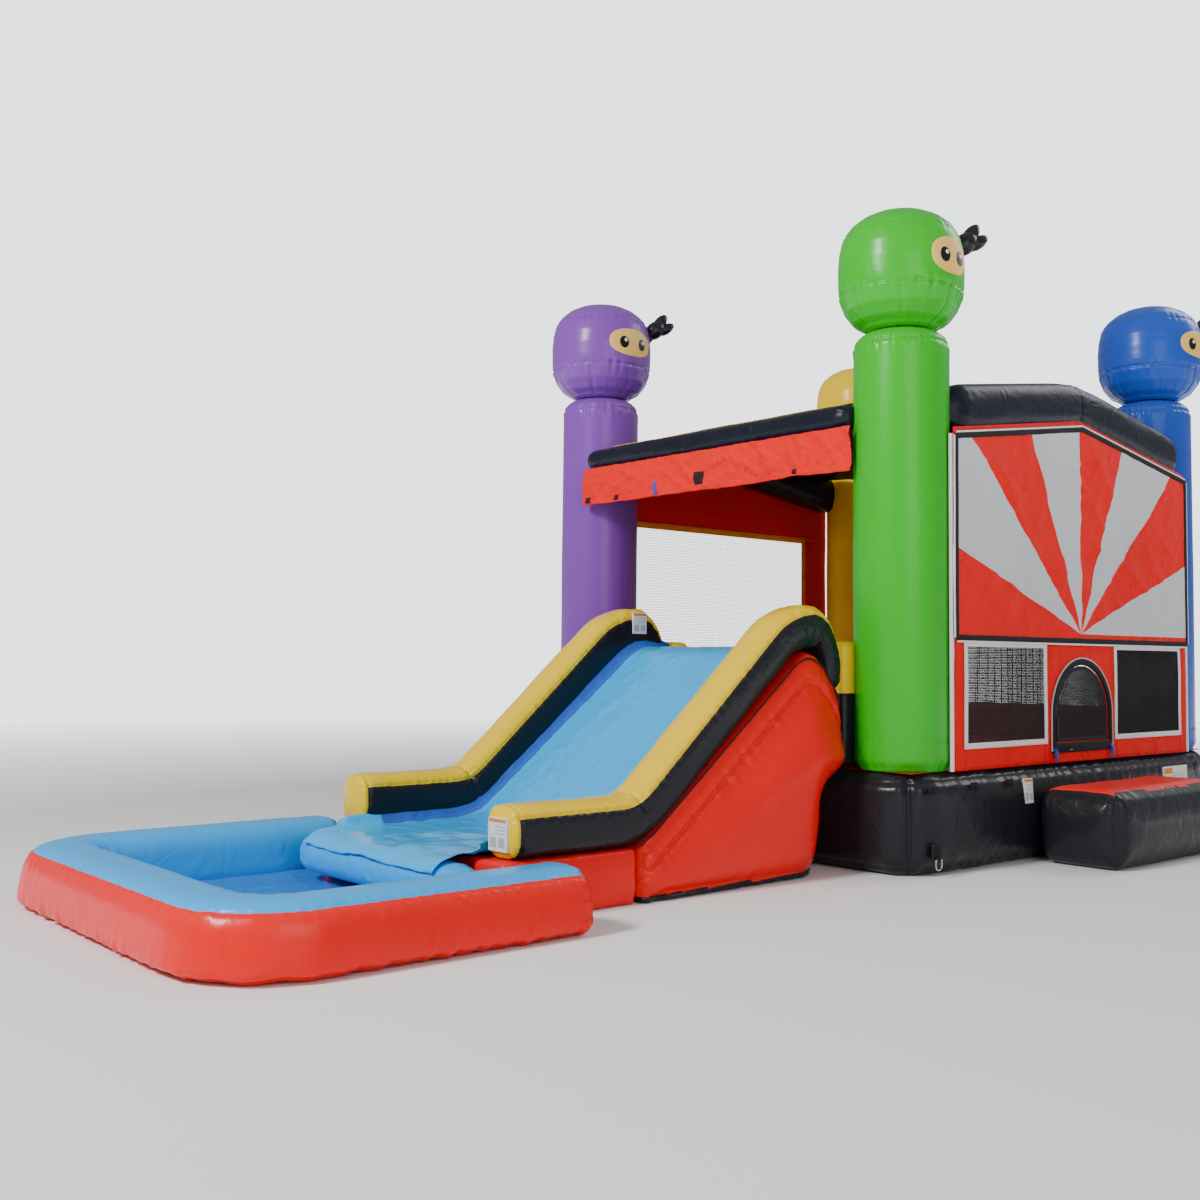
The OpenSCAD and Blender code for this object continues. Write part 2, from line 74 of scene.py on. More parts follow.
class Sheen(Enum):
    """How shiny a finish is, as its roughness."""

    WET = 0.2
    GLOSS = 0.3
    SATIN = 0.42
    MATTE = 0.68


def group_socket(tree: Tree, name: str, out: bool, kind: str, value: object = None) -> None:
    """Adds one socket to a node group.

    Args:
        tree: the group.
        name: the socket's name.
        out: whether it is an output.
        kind: its socket type.
        value: its default, if it has one.
    """
    socket = tree.interface.new_socket(name=name, in_out="OUTPUT" if out else "INPUT", socket_type=kind)
    if value is not None:
        socket.default_value = value


def object_place(tree: Tree) -> Socket:
    """Adds the node that tells a place on the object, in its own frame."""
    return tree.nodes.new("ShaderNodeTexCoord").outputs["Object"]


def math_node(tree: Tree, operation: str, a: object, b: object = None) -> Socket:
    """Adds a Math node.

    Args:
        tree: the tree that it goes in.
        operation: the node's operation.
        a: the first input, a number or a socket.
        b: the second input, if it has one.

    Returns:
        The node's output.
    """
    made = tree.nodes.new("ShaderNodeMath")
    made.operation = operation
    for i, value in enumerate((a, b)):
        if isinstance(value, Socket):
            tree.links.new(value, made.inputs[i])
        elif value is not None:
            made.inputs[i].default_value = value
    return made.outputs[0]


def noise_node(tree: Tree, vector: Socket, scale: object, detail: float, distortion: float = 0.0) -> Socket:
    """Adds a Noise Texture.

    Args:
        tree: the tree that it goes in.
        vector: where it reads its place.
        scale: a number, or the socket that gives it.
        detail: how many finer layers it has.
        distortion: how far it is stirred.

    Returns:
        Its grey output.
    """
    made = tree.nodes.new("ShaderNodeTexNoise")
    tree.links.new(vector, made.inputs["Vector"])
    if isinstance(scale, Socket):
        tree.links.new(scale, made.inputs["Scale"])
    else:
        made.inputs["Scale"].default_value = scale
    made.inputs["Detail"].default_value = detail
    made.inputs["Distortion"].default_value = distortion
    return made.outputs["Fac"]


def surface_group() -> Tree:
    """Makes the group that gives every skin its crinkles, grain, dust and uneven colour.

    Returns:
        The group, with outputs Color, Roughness and Height in metres.
    """
    tree = bpy.data.node_groups.new("crinkled_skin", "ShaderNodeTree")
    group_socket(tree, "Tint", False, "NodeSocketColor", (0.5, 0.5, 0.5, 1.0))
    for name, value in (
        ("Roughness", 0.4), ("Crinkle Scale", 4.0), ("Crinkle Depth", 0.004),
        ("Grain Scale", 260.0), ("Grain Depth", 0.0002), ("Shade", 0.12), ("Dust", 0.1),
    ):
        group_socket(tree, name, False, "NodeSocketFloat", value)
    group_socket(tree, "Color", True, "NodeSocketColor")
    group_socket(tree, "Roughness", True, "NodeSocketFloat")
    group_socket(tree, "Height", True, "NodeSocketFloat")
    given = tree.nodes.new("NodeGroupInput").outputs
    place = object_place(tree)
    soft = noise_node(tree, place, given["Crinkle Scale"], 3.0, 0.9)
    fine = noise_node(tree, place, given["Grain Scale"], 2.0)
    cloud = noise_node(tree, place, 1.3, 4.0, 0.4)
    speck = noise_node(tree, place, 38.0, 5.0)
    fold = math_node(tree, "ABSOLUTE", math_node(tree, "SUBTRACT", soft, 0.5))
    height = math_node(
        tree, "ADD",
        math_node(tree, "MULTIPLY", fold, given["Crinkle Depth"]),
        math_node(tree, "MULTIPLY", fine, given["Grain Depth"]),
    )
    uneven = math_node(tree, "MULTIPLY", math_node(tree, "SUBTRACT", cloud, 0.5), given["Shade"])
    value = math_node(tree, "ADD", uneven, 1.0)
    shade = tree.nodes.new("ShaderNodeHueSaturation")
    tree.links.new(given["Tint"], shade.inputs["Color"])
    tree.links.new(value, shade.inputs["Value"])
    upward = tree.nodes.new("ShaderNodeSeparateXYZ")
    tree.links.new(tree.nodes.new("ShaderNodeNewGeometry").outputs["Normal"], upward.inputs[0])
    lying = math_node(tree, "MAXIMUM", upward.outputs["Z"], 0.0)
    settled = math_node(tree, "MULTIPLY", math_node(tree, "MULTIPLY", lying, speck), given["Dust"])
    dusty = tree.nodes.new("ShaderNodeMix")
    dusty.data_type = "RGBA"
    tree.links.new(settled, dusty.inputs["Factor"])
    tree.links.new(shade.outputs["Color"], dusty.inputs["A"])
    dusty.inputs["B"].default_value = (0.55, 0.52, 0.47, 1.0)
    rough = math_node(
        tree, "ADD", given["Roughness"],
        math_node(tree, "MULTIPLY", math_node(tree, "SUBTRACT", speck, 0.5), 0.16)
    )
    out = tree.nodes.new("NodeGroupOutput").inputs
    tree.links.new(dusty.outputs["Result"], out["Color"])
    tree.links.new(rough, out["Roughness"])
    tree.links.new(height, out["Height"])
    return tree


@dataclass(frozen=True)
class Finish:
    """A skin: coated vinyl, woven cloth, webbing or metal."""

    name: str
    tint: RGB
    sheen: Sheen
    crinkle_scale: float = 4.0
    crinkle_depth: float = 0.006
    grain_scale: float = 260.0
    grain_depth: float = 0.0002
    shade: float = 0.14
    dust: float = 0.06
    coat: float = 0.0
    metallic: float = 0.0
    weave: float = 0.0

    def colour(self, tree: Tree, skin: bpy.types.Node) -> None:
        """Sets the tint that the skin group starts from; a patterned finish links its own."""
        skin.inputs["Tint"].default_value = (*self.tint, 1.0)

    def make(self, group: Tree) -> bpy.types.Material:
        """Makes the material.

        Args:
            group: the crinkled skin group.

        Returns:
            The material, which has the finish's name.
        """
        material = bpy.data.materials.new(self.name)
        material.use_nodes = True
        tree = material.node_tree
        shader = tree.nodes["Principled BSDF"]
        skin = tree.nodes.new("ShaderNodeGroup")
        skin.node_tree = group
        for name, value in (
            ("Roughness", self.sheen.value), ("Shade", self.shade), ("Dust", self.dust),
            ("Crinkle Scale", self.crinkle_scale), ("Crinkle Depth", self.crinkle_depth),
            ("Grain Scale", self.grain_scale), ("Grain Depth", self.grain_depth),
        ):
            skin.inputs[name].default_value = value
        self.colour(tree, skin)
        height = skin.outputs["Height"]
        if self.weave:
            height = math_node(tree, "ADD", height, weave_height(tree, self.weave))
        bump = tree.nodes.new("ShaderNodeBump")
        bump.inputs["Strength"].default_value = 1.0
        bump.inputs["Distance"].default_value = 1.0
        tree.links.new(height, bump.inputs["Height"])
        tree.links.new(bump.outputs["Normal"], shader.inputs["Normal"])
        tree.links.new(skin.outputs["Color"], shader.inputs["Base Color"])
        tree.links.new(skin.outputs["Roughness"], shader.inputs["Roughness"])
        shader.inputs["Coat Weight"].default_value = self.coat
        shader.inputs["Coat Roughness"].default_value = 0.16
        shader.inputs["Metallic"].default_value = self.metallic
        shader.inputs["Specular IOR Level"].default_value = 0.2
        return material


def weave_height(tree: Tree, pitch: float) -> Socket:
    """Makes the height of a plain weave.

    Args:
        tree: the material's tree.
        pitch: the distance between threads, in metres.

    Returns:
        The height, in metres.
    """
    split = tree.nodes.new("ShaderNodeSeparateXYZ")
    tree.links.new(object_place(tree), split.inputs[0])
    turn = tau / pitch
    waves = [
        math_node(tree, "SINE", math_node(tree, "MULTIPLY", split.outputs[axis], turn)) for axis in range(3)
    ]
    both = math_node(tree, "MULTIPLY", math_node(tree, "ADD", waves[0], waves[1]), waves[2])
    return math_node(tree, "MULTIPLY", both, pitch * 0.06)


@dataclass(frozen=True)
class RayFinish(Finish):
    """White banner cloth printed with red rays that fan out from one point."""

    heart: Tuple[float, float] = (0.0, 1.5)
    edges: Sequence[float] = (0.0,)

    def colour(self, tree: Tree, skin: bpy.types.Node) -> None:
        """Links rays of red and white, found from the angle about the heart, to the tint.

        Args:
            tree: the material's tree.
            skin: the node that holds the skin group.
        """
        split = tree.nodes.new("ShaderNodeSeparateXYZ")
        tree.links.new(object_place(tree), split.inputs[0])
        side = math_node(tree, "SUBTRACT", split.outputs["Y"], self.heart[0])
        rise = math_node(tree, "SUBTRACT", split.outputs["Z"], self.heart[1])
        turn = math_node(tree, "ARCTAN2", rise, math_node(tree, "MULTIPLY", side, -1.0))
        share = math_node(tree, "DIVIDE", turn, pi)
        ramp = tree.nodes.new("ShaderNodeValToRGB")
        ramp.color_ramp.interpolation = "CONSTANT"
        stops = ramp.color_ramp.elements
        while len(stops) < len(self.edges):
            stops.new(0.5)
        for i, edge in enumerate(self.edges):
            stops[i].position = edge
            stops[i].color = (*RED, 1.0) if i % 2 == 0 else (*self.tint, 1.0)
        tree.links.new(share, ramp.inputs[0])
        tree.links.new(ramp.outputs[0], skin.inputs["Tint"])


RED: RGB = (0.86, 0.003, 0.002)
SKY: RGB = (0.006, 0.40, 0.92)
HINGE: Tuple[float, float] = (1.8905, -0.378)

FINISHES: Tuple[Finish, ...] = (
    Finish("black_vinyl", (0.012, 0.013, 0.017), Sheen.GLOSS, 5.0, 0.012, coat=0.12, dust=0.03),
    Finish("navy_vinyl", (0.004, 0.006, 0.015), Sheen.SATIN, 5.0, 0.014, coat=0.05, dust=0.02),
    Finish("red_vinyl", RED, Sheen.GLOSS, 4.0, 0.008, coat=0.12),
    Finish("red_fabric", RED, Sheen.MATTE, 4.5, 0.045, weave=0.004),
    Finish("green_vinyl", (0.02, 0.44, 0.01), Sheen.GLOSS, 3.0, 0.006, coat=0.12),
    Finish("purple_vinyl", (0.20, 0.055, 0.38), Sheen.GLOSS, 3.0, 0.006, coat=0.12),
    Finish("blue_vinyl", (0.015, 0.075, 0.44), Sheen.GLOSS, 3.0, 0.006, coat=0.12),
    Finish("yellow_vinyl", (0.94, 0.61, 0.0), Sheen.GLOSS, 4.0, 0.007, coat=0.12),
    Finish("sky_vinyl", SKY, Sheen.GLOSS, 4.0, 0.009, coat=0.12),
    Finish("lane_vinyl", (0.008, 0.47, 0.97), Sheen.WET, 6.0, 0.018, coat=0.25),
    Finish("deep_blue_vinyl", (0.02, 0.13, 0.55), Sheen.GLOSS, 6.0, 0.014, coat=0.12),
    Finish("pool_blue", (0.015, 0.20, 0.62), Sheen.GLOSS, 6.0, 0.014, coat=0.12),
    Finish("tan_vinyl", (0.82, 0.50, 0.12), Sheen.SATIN, 5.0, 0.003),
    Finish("eye_black", (0.008, 0.008, 0.01), Sheen.GLOSS, 5.0, 0.002),
    Finish("white_fabric", (0.78, 0.78, 0.77), Sheen.MATTE, 7.0, 0.006, weave=0.004),
    # white of the plain patches; also the painted highlight dot on each eye
    Finish("patch_white_and_eye_highlight", (0.8, 0.8, 0.79), Sheen.SATIN, 8.0, 0.002),
    Finish("patch_orange", (0.85, 0.25, 0.03), Sheen.SATIN, 8.0, 0.002),
    Finish("patch_grey", (0.45, 0.46, 0.48), Sheen.SATIN, 8.0, 0.002),
    Finish("mesh", (0.02, 0.02, 0.022), Sheen.MATTE, 20.0, 0.0005, dust=0.02),
    Finish("orange_binding", (0.95, 0.38, 0.015), Sheen.MATTE, 9.0, 0.006, weave=0.003),
    Finish("blue_webbing", (0.02, 0.075, 0.5), Sheen.MATTE, 20.0, 0.001, weave=0.003),
    Finish("black_webbing", (0.012, 0.012, 0.014), Sheen.MATTE, 20.0, 0.001, weave=0.003),
    Finish("buckle_plastic", (0.02, 0.06, 0.36), Sheen.SATIN, 30.0, 0.0003),
    Finish("steel", (0.62, 0.63, 0.65), Sheen.GLOSS, 60.0, 0.0004, metallic=1.0),
    RayFinish(
        "ray_banner", (0.62, 0.63, 0.66), Sheen.MATTE, 4.0, 0.055, weave=0.004,
        heart=(HOUSE.y - 0.061, 1.531),
        edges=(0.0, 0.1088, 0.2403, 0.3661, 0.5001, 0.6299, 0.7611, 0.8892),
    ),
)


class Paints:
    """The finished materials, by name."""

    def __init__(self) -> None:
        """Builds the shared group once, then every finish on it."""
        group = surface_group()
        self.made: Dict[str, bpy.types.Material] = {f.name: f.make(group) for f in FINISHES}

    def __getitem__(self, name: str) -> bpy.types.Material:
        """The material of that name."""
        return self.made[name]


# ---------------------------------------------------------------- making meshes


def wave(*parts: float) -> float:
    """Smooth noise from about -1 to 1 at a point given by up to three numbers."""
    return noise.noise(Vector((*parts, 0.0, 0.0)[:3]))


def near(distance: float, reach: float) -> float:
    """How strongly a seam at that distance still pulls: 1 on it, falling to 0 past its reach."""
    return exp(-((distance / reach) ** 2))


def pucker(
    along: float, distance: float, seed: float, depth: float = 0.008, reach: float = 0.06,
    pitch: float = 0.05
) -> float:
    """The gathered skin beside a seam.

    Args:
        along: place along the seam, in metres.
        distance: distance from the seam, in metres.
        seed: tells one seam from another.
        depth: how deep the gathers are.
        reach: how far from the seam they run.
        pitch: how far apart they are.

    Returns:
        How far the skin moves outward, in metres. It is drawn in on the seam itself.
    """
    gathers = (
        wave(along / pitch, seed, distance * 2.0)
        + 0.6 * wave(along / pitch * 2.3, seed + 9.0, distance * 3.0)
    )
    return depth * gathers * near(distance, reach) - depth * 0.9 * near(distance, reach * 0.16)


def ease(x: float) -> float:
    """A smooth step from 0 at 0 to 1 at 1."""
    x = min(max(x, 0.0), 1.0)
    return x * x * (3.0 - 2.0 * x)


def rounded(angle: float, half_w: float, half_h: float, power: float) -> Tuple[float, float]:
    """A point on a box-like oval.

    Args:
        angle: direction from the middle, in radians.
        half_w: half its width.
        half_h: half its height.
        power: 2 for an ellipse, more for squarer corners.

    Returns:
        The two coordinates.
    """
    c, s = cos(angle), sin(angle)
    return half_w * copysign(abs(c) ** (2 / power), c), half_h * copysign(abs(s) ** (2 / power), s)


def even_path(points: Sequence[Tuple[float, float]], passes: int) -> List[Vector]:
    """Turns a few corners into a smooth, evenly stepped path.

    Args:
        points: the corners, in two coordinates.
        passes: how often it is smoothed.

    Returns:
        The path's points.
    """
    corners = [Vector(p) for p in points]
    path: List[Vector] = []
    for a, b in zip(corners, corners[1:]):
        count = max(1, round((b - a).length / PATH_STEP))
        path += [a.lerp(b, i / count) for i in range(count)]
    path.append(corners[-1])
    for _ in range(passes):
        path = [path[0]] + [(a + 2 * b + c) / 4 for a, b, c in zip(path, path[1:], path[2:])] + [path[-1]]
    return path


def on_path(path: Sequence[Vector], at: float, behind: int, ahead: int) -> Tuple[Vector, Vector]:
    """A point of a path and the direction across it.

    Args:
        path: the path's points.
        at: how many steps along it the point is.
        behind: how many points back its run is measured from.
        ahead: how many points on its run is measured to.

    Returns:
        The point, and the unit vector to the left of the run.
    """
    last = len(path) - 1
    i = min(int(at), last - 1)
    run = (path[min(i + ahead, last)] - path[max(i - behind, 0)]).normalized()
    return path[i].lerp(path[i + 1], at - i), Vector((-run.y, run.x))


def profile(marks: Sequence[Tuple[float, float]], at: float) -> float:
    """The value of a line of straight runs at a place; it stays level past either end.

    Args:
        marks: its corners, as a place and a value.
        at: the place.

    Returns:
        The value.
    """
    if at <= marks[0][0]:
        return marks[0][1]
    for (x0, y0), (x1, y1) in zip(marks, marks[1:]):
        if at <= x1:
            return y0 + (y1 - y0) * (at - x0) / (x1 - x0)
    return marks[-1][1]


def bent_grid(
    cols: int, rows: int, place: Place, close: bool = False,
    paint: Optional[Callable[[float, float], int]] = None
) -> Mesh:
    """Bends a flat grid into a skin.

    Args:
        cols: cells along u.
        rows: cells along v.
        place: gives the point for u and v, both from 0 to 1.
        close: whether the two ends of u are sewn together.
        paint: picks a finish's number for a cell, from its middle's u and v.

    Returns:
        The mesh.
    """
    bm = bmesh.new()
    bmesh.ops.create_grid(bm, x_segments=cols, y_segments=rows, size=0.5)
    if paint:
        for face in bm.faces:
            c = face.calc_center_median()
            face.material_index = paint(c.x + 0.5, c.y + 0.5)
    for v in bm.verts:
        v.co = place(v.co.x + 0.5, v.co.y + 0.5)
    if close:
        bmesh.ops.remove_doubles(bm, verts=bm.verts, dist=1e-5)
    bmesh.ops.recalc_face_normals(bm, faces=bm.faces)
    return bm


def cell_box(half: Vector, cell: float) -> Mesh:
    """Makes a box whose faces are cut into cells.

    Args:
        half: half its size on each axis.
        cell: the size of a cell.

    Returns:
        The mesh, centred on the origin.
    """
    bm = bmesh.new()
    bmesh.ops.create_cube(bm, size=2.0, matrix=Matrix.Diagonal((*half, 1.0)))
    for axis in range(3):
        cuts = max(1, round(2 * half[axis] / cell) - 1)
        runs = [e for e in bm.edges if abs((e.verts[0].co - e.verts[1].co)[axis]) > 1e-6]
        bmesh.ops.subdivide_edges(bm, edges=runs, cuts=cuts, use_grid_fill=True)
    return bm


def swell(bm: Mesh, half: Vector, edge: float, corner: float, bulge: float) -> None:
    """Rounds a box of cells and blows its sides out, as air pressure does.

    Args:
        bm: the box, centred on the origin.
        half: half its size on each axis.
        edge: radius of the edges round its top and bottom.
        corner: radius of its upright corners.
        bulge: how far each side swells at its middle.
    """
    for v in bm.verts:
        core = Vector([min(max(v.co[i], edge - half[i]), half[i] - edge) for i in range(3)])
        out = v.co - core
        if out.length > 1e-9:
            v.co = core + out.normalized() * max(abs(c) for c in out)
        flat = Vector([min(max(v.co[i], corner - half[i]), half[i] - corner) for i in range(2)])
        out2 = v.co.xy - flat
        if out2.length > 1e-9:
            reach = flat + out2.normalized() * max(abs(c) for c in out2)
            v.co.x, v.co.y = reach.x, reach.y
        belly = 1.0 - (v.co.z / half.z) ** 2
        for i, j in ((0, 1), (1, 0)):
            t = v.co[i] / half[i]
            v.co[i] += copysign(
                bulge * belly * ease((abs(t) - 0.6) / 0.4) * (1.0 - abs(v.co[j] / half[j]) ** 4), t
            )


def press(bm: Mesh, amount: Callable[[Vector], float]) -> None:
    """Moves each point along its own normal.

    Args:
        bm: the mesh.
        amount: how far a point moves outward, from where it is.
    """
    bm.normal_update()
    moves = [(v, v.normal * amount(v.co)) for v in bm.verts]
    for v, move in moves:
        v.co += move


def tilt(bm: Mesh, move: Shift) -> None:
    """Moves every point of a mesh.

    Args:
        bm: the mesh.
        move: gives a point's new place.
    """
    for v in bm.verts:
        v.co = move(v.co)


def inflate(bm: Mesh, held: Callable[[Vector], bool], cap: float) -> None:
    """Blows a closed skin up by cloth simulation; its seams are held, so spare skin gathers beside them.

    Args:
        held: tells whether a point is on a seam or the ground.
        cap: the furthest that a point may move.
    """
    bm.verts.index_update()
    mesh = bpy.data.meshes.new("skin")
    bm.to_mesh(mesh)
    body = add_object("skin", mesh)
    body.vertex_groups.new(name="held").add([v.index for v in bm.verts if held(v.co)], 1.0, "REPLACE")
    cloth = body.modifiers.new("cloth", "CLOTH")
    cloth.settings.quality = 4
    cloth.settings.use_pressure = True
    cloth.settings.uniform_pressure_force = 4.0
    cloth.settings.shrink_min = -0.003
    cloth.settings.bending_stiffness = 0.05
    cloth.settings.vertex_group_mass = "held"
    cloth.settings.effector_weights.gravity = 0.0
    cloth.point_cache.frame_end = 20
    for number in range(1, 21):
        bpy.context.scene.frame_set(number)
    blown = body.evaluated_get(bpy.context.evaluated_depsgraph_get()).data.vertices
    for v in bm.verts:
        move = blown[v.index].co - v.co
        v.co += move * min(1.0, cap / max(move.length, 1e-9))
    bpy.data.objects.remove(body)
    bpy.data.meshes.remove(mesh)
    bpy.context.scene.frame_set(1)


def plain_box(low: Sequence[float], high: Sequence[float], edge: float = 0.0, segments: int = 2) -> Mesh:
    """Makes a box with rounded edges.

    Args:
        low: its lowest corner.
        high: its highest corner.
        edge: radius of its edges.
        segments: steps in each rounded edge.

    Returns:
        The mesh.
    """
    bm = bmesh.new()
    low_v, high_v = Vector(low), Vector(high)
    size = high_v - low_v
    bmesh.ops.create_cube(
        bm, size=1.0, matrix=Matrix.Translation((low_v + high_v) / 2) @ Matrix.Diagonal((*size, 1.0))
    )
    if edge:
        bmesh.ops.bevel(
            bm, geom=bm.edges[:], offset=edge, segments=segments, affect="EDGES", profile=0.5, material=-1
        )
    return bm


def thicken(bm: Mesh, thickness: float) -> None:
    """Gives a sheet its thickness, in metres."""
    bmesh.ops.solidify(bm, geom=bm.faces, thickness=thickness)


def stain(bm: Mesh, number: int) -> None:
    """Gives every face of a mesh the finish of that number."""
    for face in bm.faces:
        face.material_index = number


def shift(bm: Mesh, way: Sequence[float]) -> None:
    """Moves a whole mesh."""
    bmesh.ops.translate(bm, verts=bm.verts, vec=way)


def add_object(name: str, data: bpy.types.ID) -> bpy.types.Object:
    """Makes an object and puts it in the scene."""
    made = bpy.data.objects.new(name, data)
    bpy.context.collection.objects.link(made)
    return made


def joined(parts: Sequence[Mesh]) -> Mesh:
    """Puts several meshes in one, and frees them."""
    whole = bmesh.new()
    spare = bpy.data.meshes.new("spare")
    for part in parts:
        part.to_mesh(spare)
        whole.from_mesh(spare)
        part.free()
    bpy.data.meshes.remove(spare)
    return whole


@dataclass
class Maker:
    """Turns finished meshes into pieces on their CAD bodies."""

    paints: Paints
    count: int = 0

    def piece(
        self,
        name: str,
        bm: Mesh,
        finishes: Sequence[str],
        nodes: Sequence[str] = (),
        body: str = "castle",
        slot: Optional[str] = None,
        choose: Optional[Callable[[Face], int]] = None,
        fill: Optional[float] = None,
        smooth: bool = True,
        levels: int = 0,
    ) -> bpy.types.Object:
        """Makes one piece of the object.

        Args:
            name: the piece's name.
            bm: its mesh, in the castle's own frame; it is freed.
            finishes: names of its finishes.
            nodes: the CAD nodes that it stands for.
            body: the CAD body that it rides on.
            slot: a material slot's name, where it isn't the first finish; it is not used.
            choose: picks a finish's number for a face.
            fill: how tight it is, for a padded piece; it is not used.
            smooth: whether its faces are shaded smooth.
            levels: how often it is subdivided.

        Returns:
            The new object.
        """
        if choose:
            bm.normal_update()
            for face in bm.faces:
                face.material_index = choose(face)
        shift(bm, HOUSE)
        mesh = bpy.data.meshes.new(name)
        for face in bm.faces:
            face.smooth = smooth
        bm.to_mesh(mesh)
        bm.free()
        for finish in finishes:
            mesh.materials.append(self.paints[finish])
        made = add_object(name, mesh)
        if levels:
            finer = made.modifiers.new("finer", "SUBSURF")
            finer.levels = finer.render_levels = levels
        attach(made, body)
        if nodes:
            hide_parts(*nodes)
        slot or finishes[0]
        self.count += 1
        LOG.info("%s: %d faces", name, len(mesh.polygons))
        return made


@dataclass
class Part:
    """A sub-assembly, which hands its meshes to the maker."""

    maker: Maker


# ---------------------------------------------------------------- the base


@dataclass
class CastleBase(Part):
    """The black inflated base, its red jump floor, and what is sewn to its sides."""

    half: Tuple[float, float] = (1.895, 2.025)
    height: float = 0.63
    cell: float = 0.022

    def build(self) -> None:
        """Builds every piece of the base."""
        self.shell()
        self.floor()
        self.webbing()
        self.patches()
        self.sleeve()
        self.zip()

    def shell(self) -> None:
        """Makes the swollen black shell with gathered seams round its top and bottom."""
        half = Vector((*self.half, self.height / 2))
        bm = cell_box(half, self.cell)
        flat_top = [
            f for f in bm.faces if abs(f.calc_center_median().z) > half.z - 1e-4
            and max(abs(c) - h for c, h in zip(f.calc_center_median().xy, half.xy)) < -0.25
        ]
        bmesh.ops.dissolve_faces(bm, faces=[f for f in flat_top if f.calc_center_median().z > 0])
        bmesh.ops.dissolve_faces(bm, faces=[f for f in flat_top if f.is_valid])
        bmesh.ops.triangulate(bm, faces=[f for f in bm.faces if len(f.verts) > 4])
        swell(bm, half, 0.12, 0.30, 0.045)

        def gather(p: Vector) -> float:
            """Gathers beside the two seams and slow dents between them."""
            along = p.y if abs(p.x) / half.x > abs(p.y) / half.y else p.x + 9.0
            side = ease((max(abs(p.x) - half.x, abs(p.y) - half.y) + 0.3) / 0.15)
            top = pucker(along, abs(p.z - half.z + 0.055), 1.0, 0.010, 0.09, 0.09)
            low = pucker(along, abs(p.z + half.z - 0.05), 2.0, 0.010, 0.10, 0.11)
            dents = 0.008 * wave(along * 2.1, p.z * 2.6, 5.0) + 0.004 * wave(along * 6.0, p.z * 7.0, 8.0)
            return side * (top + low + dents)

        press(bm, gather)
        for v in bm.verts:
            v.co.z = max(v.co.z, -half.z)
        shift(bm, (0, 0, half.z))
        self.maker.piece("inflated_base", bm, ["black_vinyl"], ["base_shell", "base_baffles"], fill=0.95)

    def floor(self) -> None:
        """Makes the red jump floor with its soft channels."""

        def place(u: float, v: float) -> Vector:
            """A point of the floor, raised between its sewn lines and let down round the pillars."""
            x, y = -1.83 + 3.66 * u, -1.95 + 3.90 * v
            clear = min(hypot(abs(x) - 1.55, abs(y) - 1.67), 0.62)
            rise = 0.036 * abs(sin(pi * x / 0.305)) ** 0.6
            rise *= ease((clear - 0.32) / 0.22) * ease((1.96 - abs(y)) / 0.1) * ease((1.84 - abs(x)) / 0.08)
            return Vector((x, y, self.height + 0.004 + rise))

        self.maker.piece(
            "jump_floor_sheet", bent_grid(150, 90, place), ["red_vinyl"], ["jump_floor"], fill=0.9
        )

    def webbing(self) -> None:
        """Makes the stitched webbing squares and the loops that hold the anchor rings."""
        parts = []
        for y in (-1.857, -1.415, -1.02):
            parts.append(plain_box((1.915, y - 0.032, 0.512), (1.929, y + 0.032, 0.562), 0.003))
            for k in (-1, 1):
                stitch = plain_box((1.927, -0.038, -0.0015), (1.931, 0.038, 0.0015))
                bmesh.ops.rotate(
                    stitch, verts=stitch.verts, cent=(0, 0, 0), matrix=Matrix.Rotation(k * 0.65, 3, "X")
                )
                shift(stitch, (0, y, 0.537))
                parts.append(stitch)
        self.maker.piece("webbing_squares", joined(parts), ["black_webbing"], ["webbing_patches"])
        parts = []
        for sx in (-1, 1):
            for sy in (-1, 1):
                strap = plain_box((-0.020, -0.036, 0.006), (0.001, 0.036, 0.095), 0.003)
                fold = plain_box((-0.012, -0.018, -0.006), (0.0185, 0.018, 0.014), 0.0055, 3)
                for part in (strap, fold):
                    shift(part, (1.930, 0, 0.112))
                    if sx < 0:
                        bmesh.ops.rotate(
                            part, verts=part.verts, cent=(0, 0, 0), matrix=Matrix.Rotation(pi, 3, "Z")
                        )
                    shift(part, (0, sy * 1.82, 0))
                    parts.append(part)
        self.maker.piece("ring_loops", joined(parts), ["black_webbing"], ["anchor_loops"])

    def patches(self) -> None:
        """Makes the plain patches: white cloth with a coloured band and grey blocks, and no text."""
        parts: List[Mesh] = []

        def patch(
            width: float, height: float, at: Matrix, bands: Sequence[Tuple[float, float, float, float, int]]
        ) -> None:
            """Adds one patch and its printed blocks, given as low and high corners in shares of it."""
            for x0, y0, x1, y1, kind in ((0.0, 0.0, 1.0, 1.0, 0), *bands):
                lift = 0.0035 if kind == 0 else 0.0045
                block = plain_box(
                    ((x0 - 0.5) * width, -0.012, (y0 - 0.5) * height),
                    ((x1 - 0.5) * width, lift, (y1 - 0.5) * height), 0.0008 if kind else 0.0015, 1
                )
                stain(block, kind)
                bmesh.ops.transform(block, matrix=at, verts=block.verts)
                parts.append(block)

